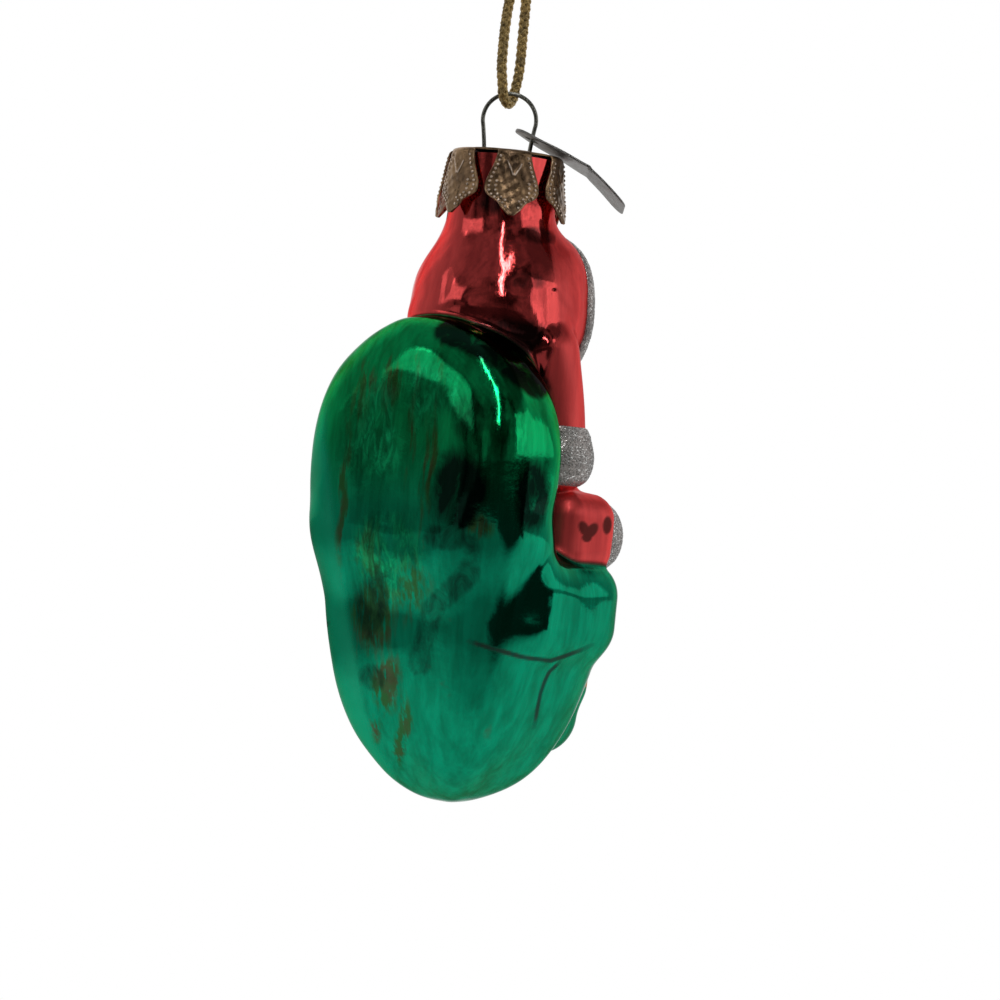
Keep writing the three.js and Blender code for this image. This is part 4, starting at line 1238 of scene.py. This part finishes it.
def sheet_metal():
    dark, light = (0.17, 0.165, 0.155), (0.34, 0.33, 0.315)
    return plain_metal("tag_metal", ((900, 900, 1300), 3, 0.6), dark, light, (0.38, 0.58), (0.25, 0.00004))


def gold_thread():
    m = Material("gold_cord")
    fibre = m.noise(5200, 3, 0.6)
    gold = m.ramp(fibre, (0.3, (0.14, 0.095, 0.035)), (0.68, (0.66, 0.46, 0.18)))
    shade = m.ramp(m.noise(700, 2, 0.5), (0.45, 0.0), (0.65, 0.6))
    roughness = m.ramp(fibre, (0.3, 0.24), (0.7, 0.5))
    m.feed(Base_Color=m.mix(shade, gold, (0.16, 0.125, 0.07)), Roughness=roughness, Metallic=0.92)
    m.bump(fibre, 0.5, 0.00006)
    return m.material


def silver_glitter():
    m = Material("silver_glitter")
    flake = m.node("ShaderNodeTexVoronoi", {"Scale": 6200, "Vector": m.place()}).outputs["Color"]
    value = m.node("ShaderNodeRGBToBW", {0: flake}).outputs[0]
    tint = m.ramp(m.noise(260, 3, 0.6), (0.35, (0.24, 0.23, 0.22)), (0.65, (0.36, 0.32, 0.30)))
    colour = m.mix(m.ramp(value, (0.70, 0.0), (0.82, 1.0)), tint, (0.70, 0.70, 0.68))
    colour = m.mix(m.ramp(value, (0.20, 1.0), (0.32, 0.0)), colour, (0.13, 0.12, 0.11))
    metallic = m.ramp(value, (0.4, 0.2), (0.6, 0.85))
    m.feed(Base_Color=colour, Metallic=metallic, Roughness=m.ramp(value, (0.3, 0.6), (0.8, 0.25)))
    m.bump(value, 0.8, 0.0003)
    return m.material


# Stage

FLOOR_DROP = 48 * MM
FLOOR_FADE = (0.09, 0.13)
FLOOR_TONES = ((0.34, 0.28), (0.41, 0.5), (0.445, 0.8), (0.50, 0.85), (0.62, 1.0))
# Far off on the camera's side the floor is dark: its distance, and the turns from the camera of its two edges
DARK_FLOOR_START = 0.47
DARK_FLOOR_TURNS = ((-0.85, -0.75), (1.60, 1.50))
LIGHT_AIM = 45
# Windows and dark corners that the glass mirrors: left, low, right and high edge in degrees from the camera,
# softness of the edge, and tone
ROOM = [
    (-68, 38, 5, 66, 6, 0.2), (55, 38, 145, 80, 5, 0.08), (-36, -9.5, 93, 1.2, 0.8, 0.03),
    (46, 3.2, 107, 30, 0.9, 1.05), (-89, 9, -46, 33, 3, 0.9), (-84, 31, -79, 35, 0.8, 2.2),
]


def make_stage():
    """A pale floor, white farther off and dimmer towards the camera where the glass mirrors it."""
    size, depth = 1500, GLASS_BOTTOM - FLOOR_DROP / MM
    corners = [(-size, -size, depth), (size, -size, depth), (size, size, depth), (-size, size, depth)]
    parts = Parts()
    parts.add(corners, [[0, 1, 2, 3]])
    floor = parts.make("floor", smooth=False)
    m = Material("floor")
    m.feed(Base_Color=(0.88, 0.88, 0.88), Roughness=0.9)
    place = m.place()
    distance = m.node("ShaderNodeVectorMath", {0: place}, operation="LENGTH").outputs["Value"]
    right, away = m.along(place, VIEW_RIGHT), m.along(place, VIEW_AWAY)
    mirrored = m.mix(m.ramp(right, (0.24, 1.0), (0.36, 0.0)), m.ramp(away, *FLOOR_TONES), 0.32)
    corner = m.times(m.ramp(right, (0.57, 0.0), (0.62, 1.0)), m.ramp(away, (0.37, 1.0), (0.42, 0.0)))
    sector = m.ramp(distance, (DARK_FLOOR_START, 0.0), (DARK_FLOOR_START + 0.06, 1.0))
    turn = m.math("ARCTAN2", m.math("SUBTRACT", right), m.math("SUBTRACT", 0.5, away))
    for start, end in DARK_FLOOR_TURNS:
        sector = m.times(m.eased(turn, start, end), sector)
    mirrored = m.mix(m.math("MAXIMUM", corner, sector), mirrored, 0.03)
    camera, seen = m.seen_rays()
    glow = m.node("ShaderNodeEmission", {"Color": m.mix(camera, mirrored, 1.0)})
    share = m.times(m.eased(distance, *FLOOR_FADE), seen)
    both = m.node("ShaderNodeMixShader", {0: share, 1: m.surface.outputs[0], 2: glow.outputs[0]})
    m.put(both.outputs[0], m.output.inputs[0])
    floor.data.materials.append(m.material)


def make_light(name, turn, rise, distance, wide, tall, radiance, mirrored=True):
    """An area lamp: turn and rise are degrees from the camera's own direction, to its right and up."""
    data = bpy.data.lights.new(name, "AREA")
    data.shape = "RECTANGLE"
    data.size, data.size_y = wide, tall
    data.energy = radiance * math.pi * wide * tall
    lamp = bpy.data.objects.new(name, data)
    scene.collection.objects.link(lamp)
    target = Vector((0, 0, (GLASS_BOTTOM + LIGHT_AIM) * MM))
    t, r = math.radians(turn), math.radians(rise)
    way = (VIEW_RIGHT * math.sin(t) - VIEW_AWAY * math.cos(t)) * math.cos(r) + Vector((0, 0, math.sin(r)))
    lamp.visible_glossy = mirrored
    lamp.location = target + way * distance
    lamp.rotation_euler = (-way).to_track_quat("-Z", "Y").to_euler()


def room_patch(m, turn, rise, left, low, right, high, soft):
    inside = 1.0
    for value, start, end in ((turn, left, right), (rise, low, high)):
        inside = m.times(m.eased(value, start - soft, start + soft), inside)
        inside = m.times(m.eased(value, end + soft, end - soft), inside)
    return inside


def make_world():
    """White to the eye; the glass mirrors white behind it and a dim uneven room on the camera's side."""
    scene.world = bpy.data.worlds.new("studio")
    m = Shader(scene.world)
    direction = m.node("ShaderNodeTexCoord").outputs["Generated"]
    away = m.times(m.math("ADD", m.along(direction, VIEW_AWAY), 0.5), 0.5)
    clutter = m.noise(2.6, 4, 0.6, 0.6, where=direction)
    dim = m.ramp(clutter, (0.40, (0.012, 0.012, 0.012)), (0.66, (0.26, 0.26, 0.25)))
    dim_share = m.ramp(away, (0.30, 1.0), (0.52, 0.0))
    rest = m.ramp(away, (0.45, 0.30), (0.66, 0.42), (0.86, 1.0))
    tones = m.mix(dim_share, rest, dim)
    axes = (VIEW_RIGHT, -VIEW_AWAY, UP)
    right, nearer, up = [m.math("SUBTRACT", m.along(direction, axis)) for axis in axes]
    sway = m.times(m.math("SUBTRACT", m.noise(7, 3, 0.6, 0, where=direction)), 9)
    turn = m.math("ADD", m.math("DEGREES", m.math("ARCTAN2", right, nearer)), sway)
    rise = m.math("DEGREES", m.math("ARCSINE", up))
    for *edges, tone in ROOM:
        tones = m.mix(room_patch(m, turn, rise, *edges), tones, tone)
    uneven = m.ramp(m.noise(13, 3, 0.6, 0.5, where=direction), (0.36, 0.62), (0.64, 1.25))
    tones = m.mix(dim_share, tones, m.mix(1.0, tones, uneven, "MULTIPLY"))
    camera, seen = m.seen_rays()
    plain = m.node("ShaderNodeBackground", {"Color": (0.96, 0.98, 1), "Strength": 0.7})
    room = m.node("ShaderNodeBackground", {"Color": m.mix(camera, tones, 1.0)})
    both = m.node("ShaderNodeMixShader", {0: seen, 1: plain.outputs[0], 2: room.outputs[0]})
    m.node("ShaderNodeOutputWorld", {0: both.outputs[0]})


make_camera()
make_stage()
make_world()
make_light("strip", 5, 48, 0.75, 0.035, 0.8, 14)
make_light("right_window", 46, 20, 0.9, 0.28, 0.26, 1.6, mirrored=False)
make_light("left_window", -40, 36, 0.9, 0.35, 0.35, 1.2, mirrored=False)
make_light("soft_top", 150, 70, 0.9, 0.6, 0.6, 1.2, mirrored=False)

thread = gold_thread()
make_cord(thread)
make_knot(thread)
make_glass(lacquered_glass())
make_coats(silver_glitter())
make_cap(antique_gold())
make_ring(spring_steel())
make_tag(sheet_metal())
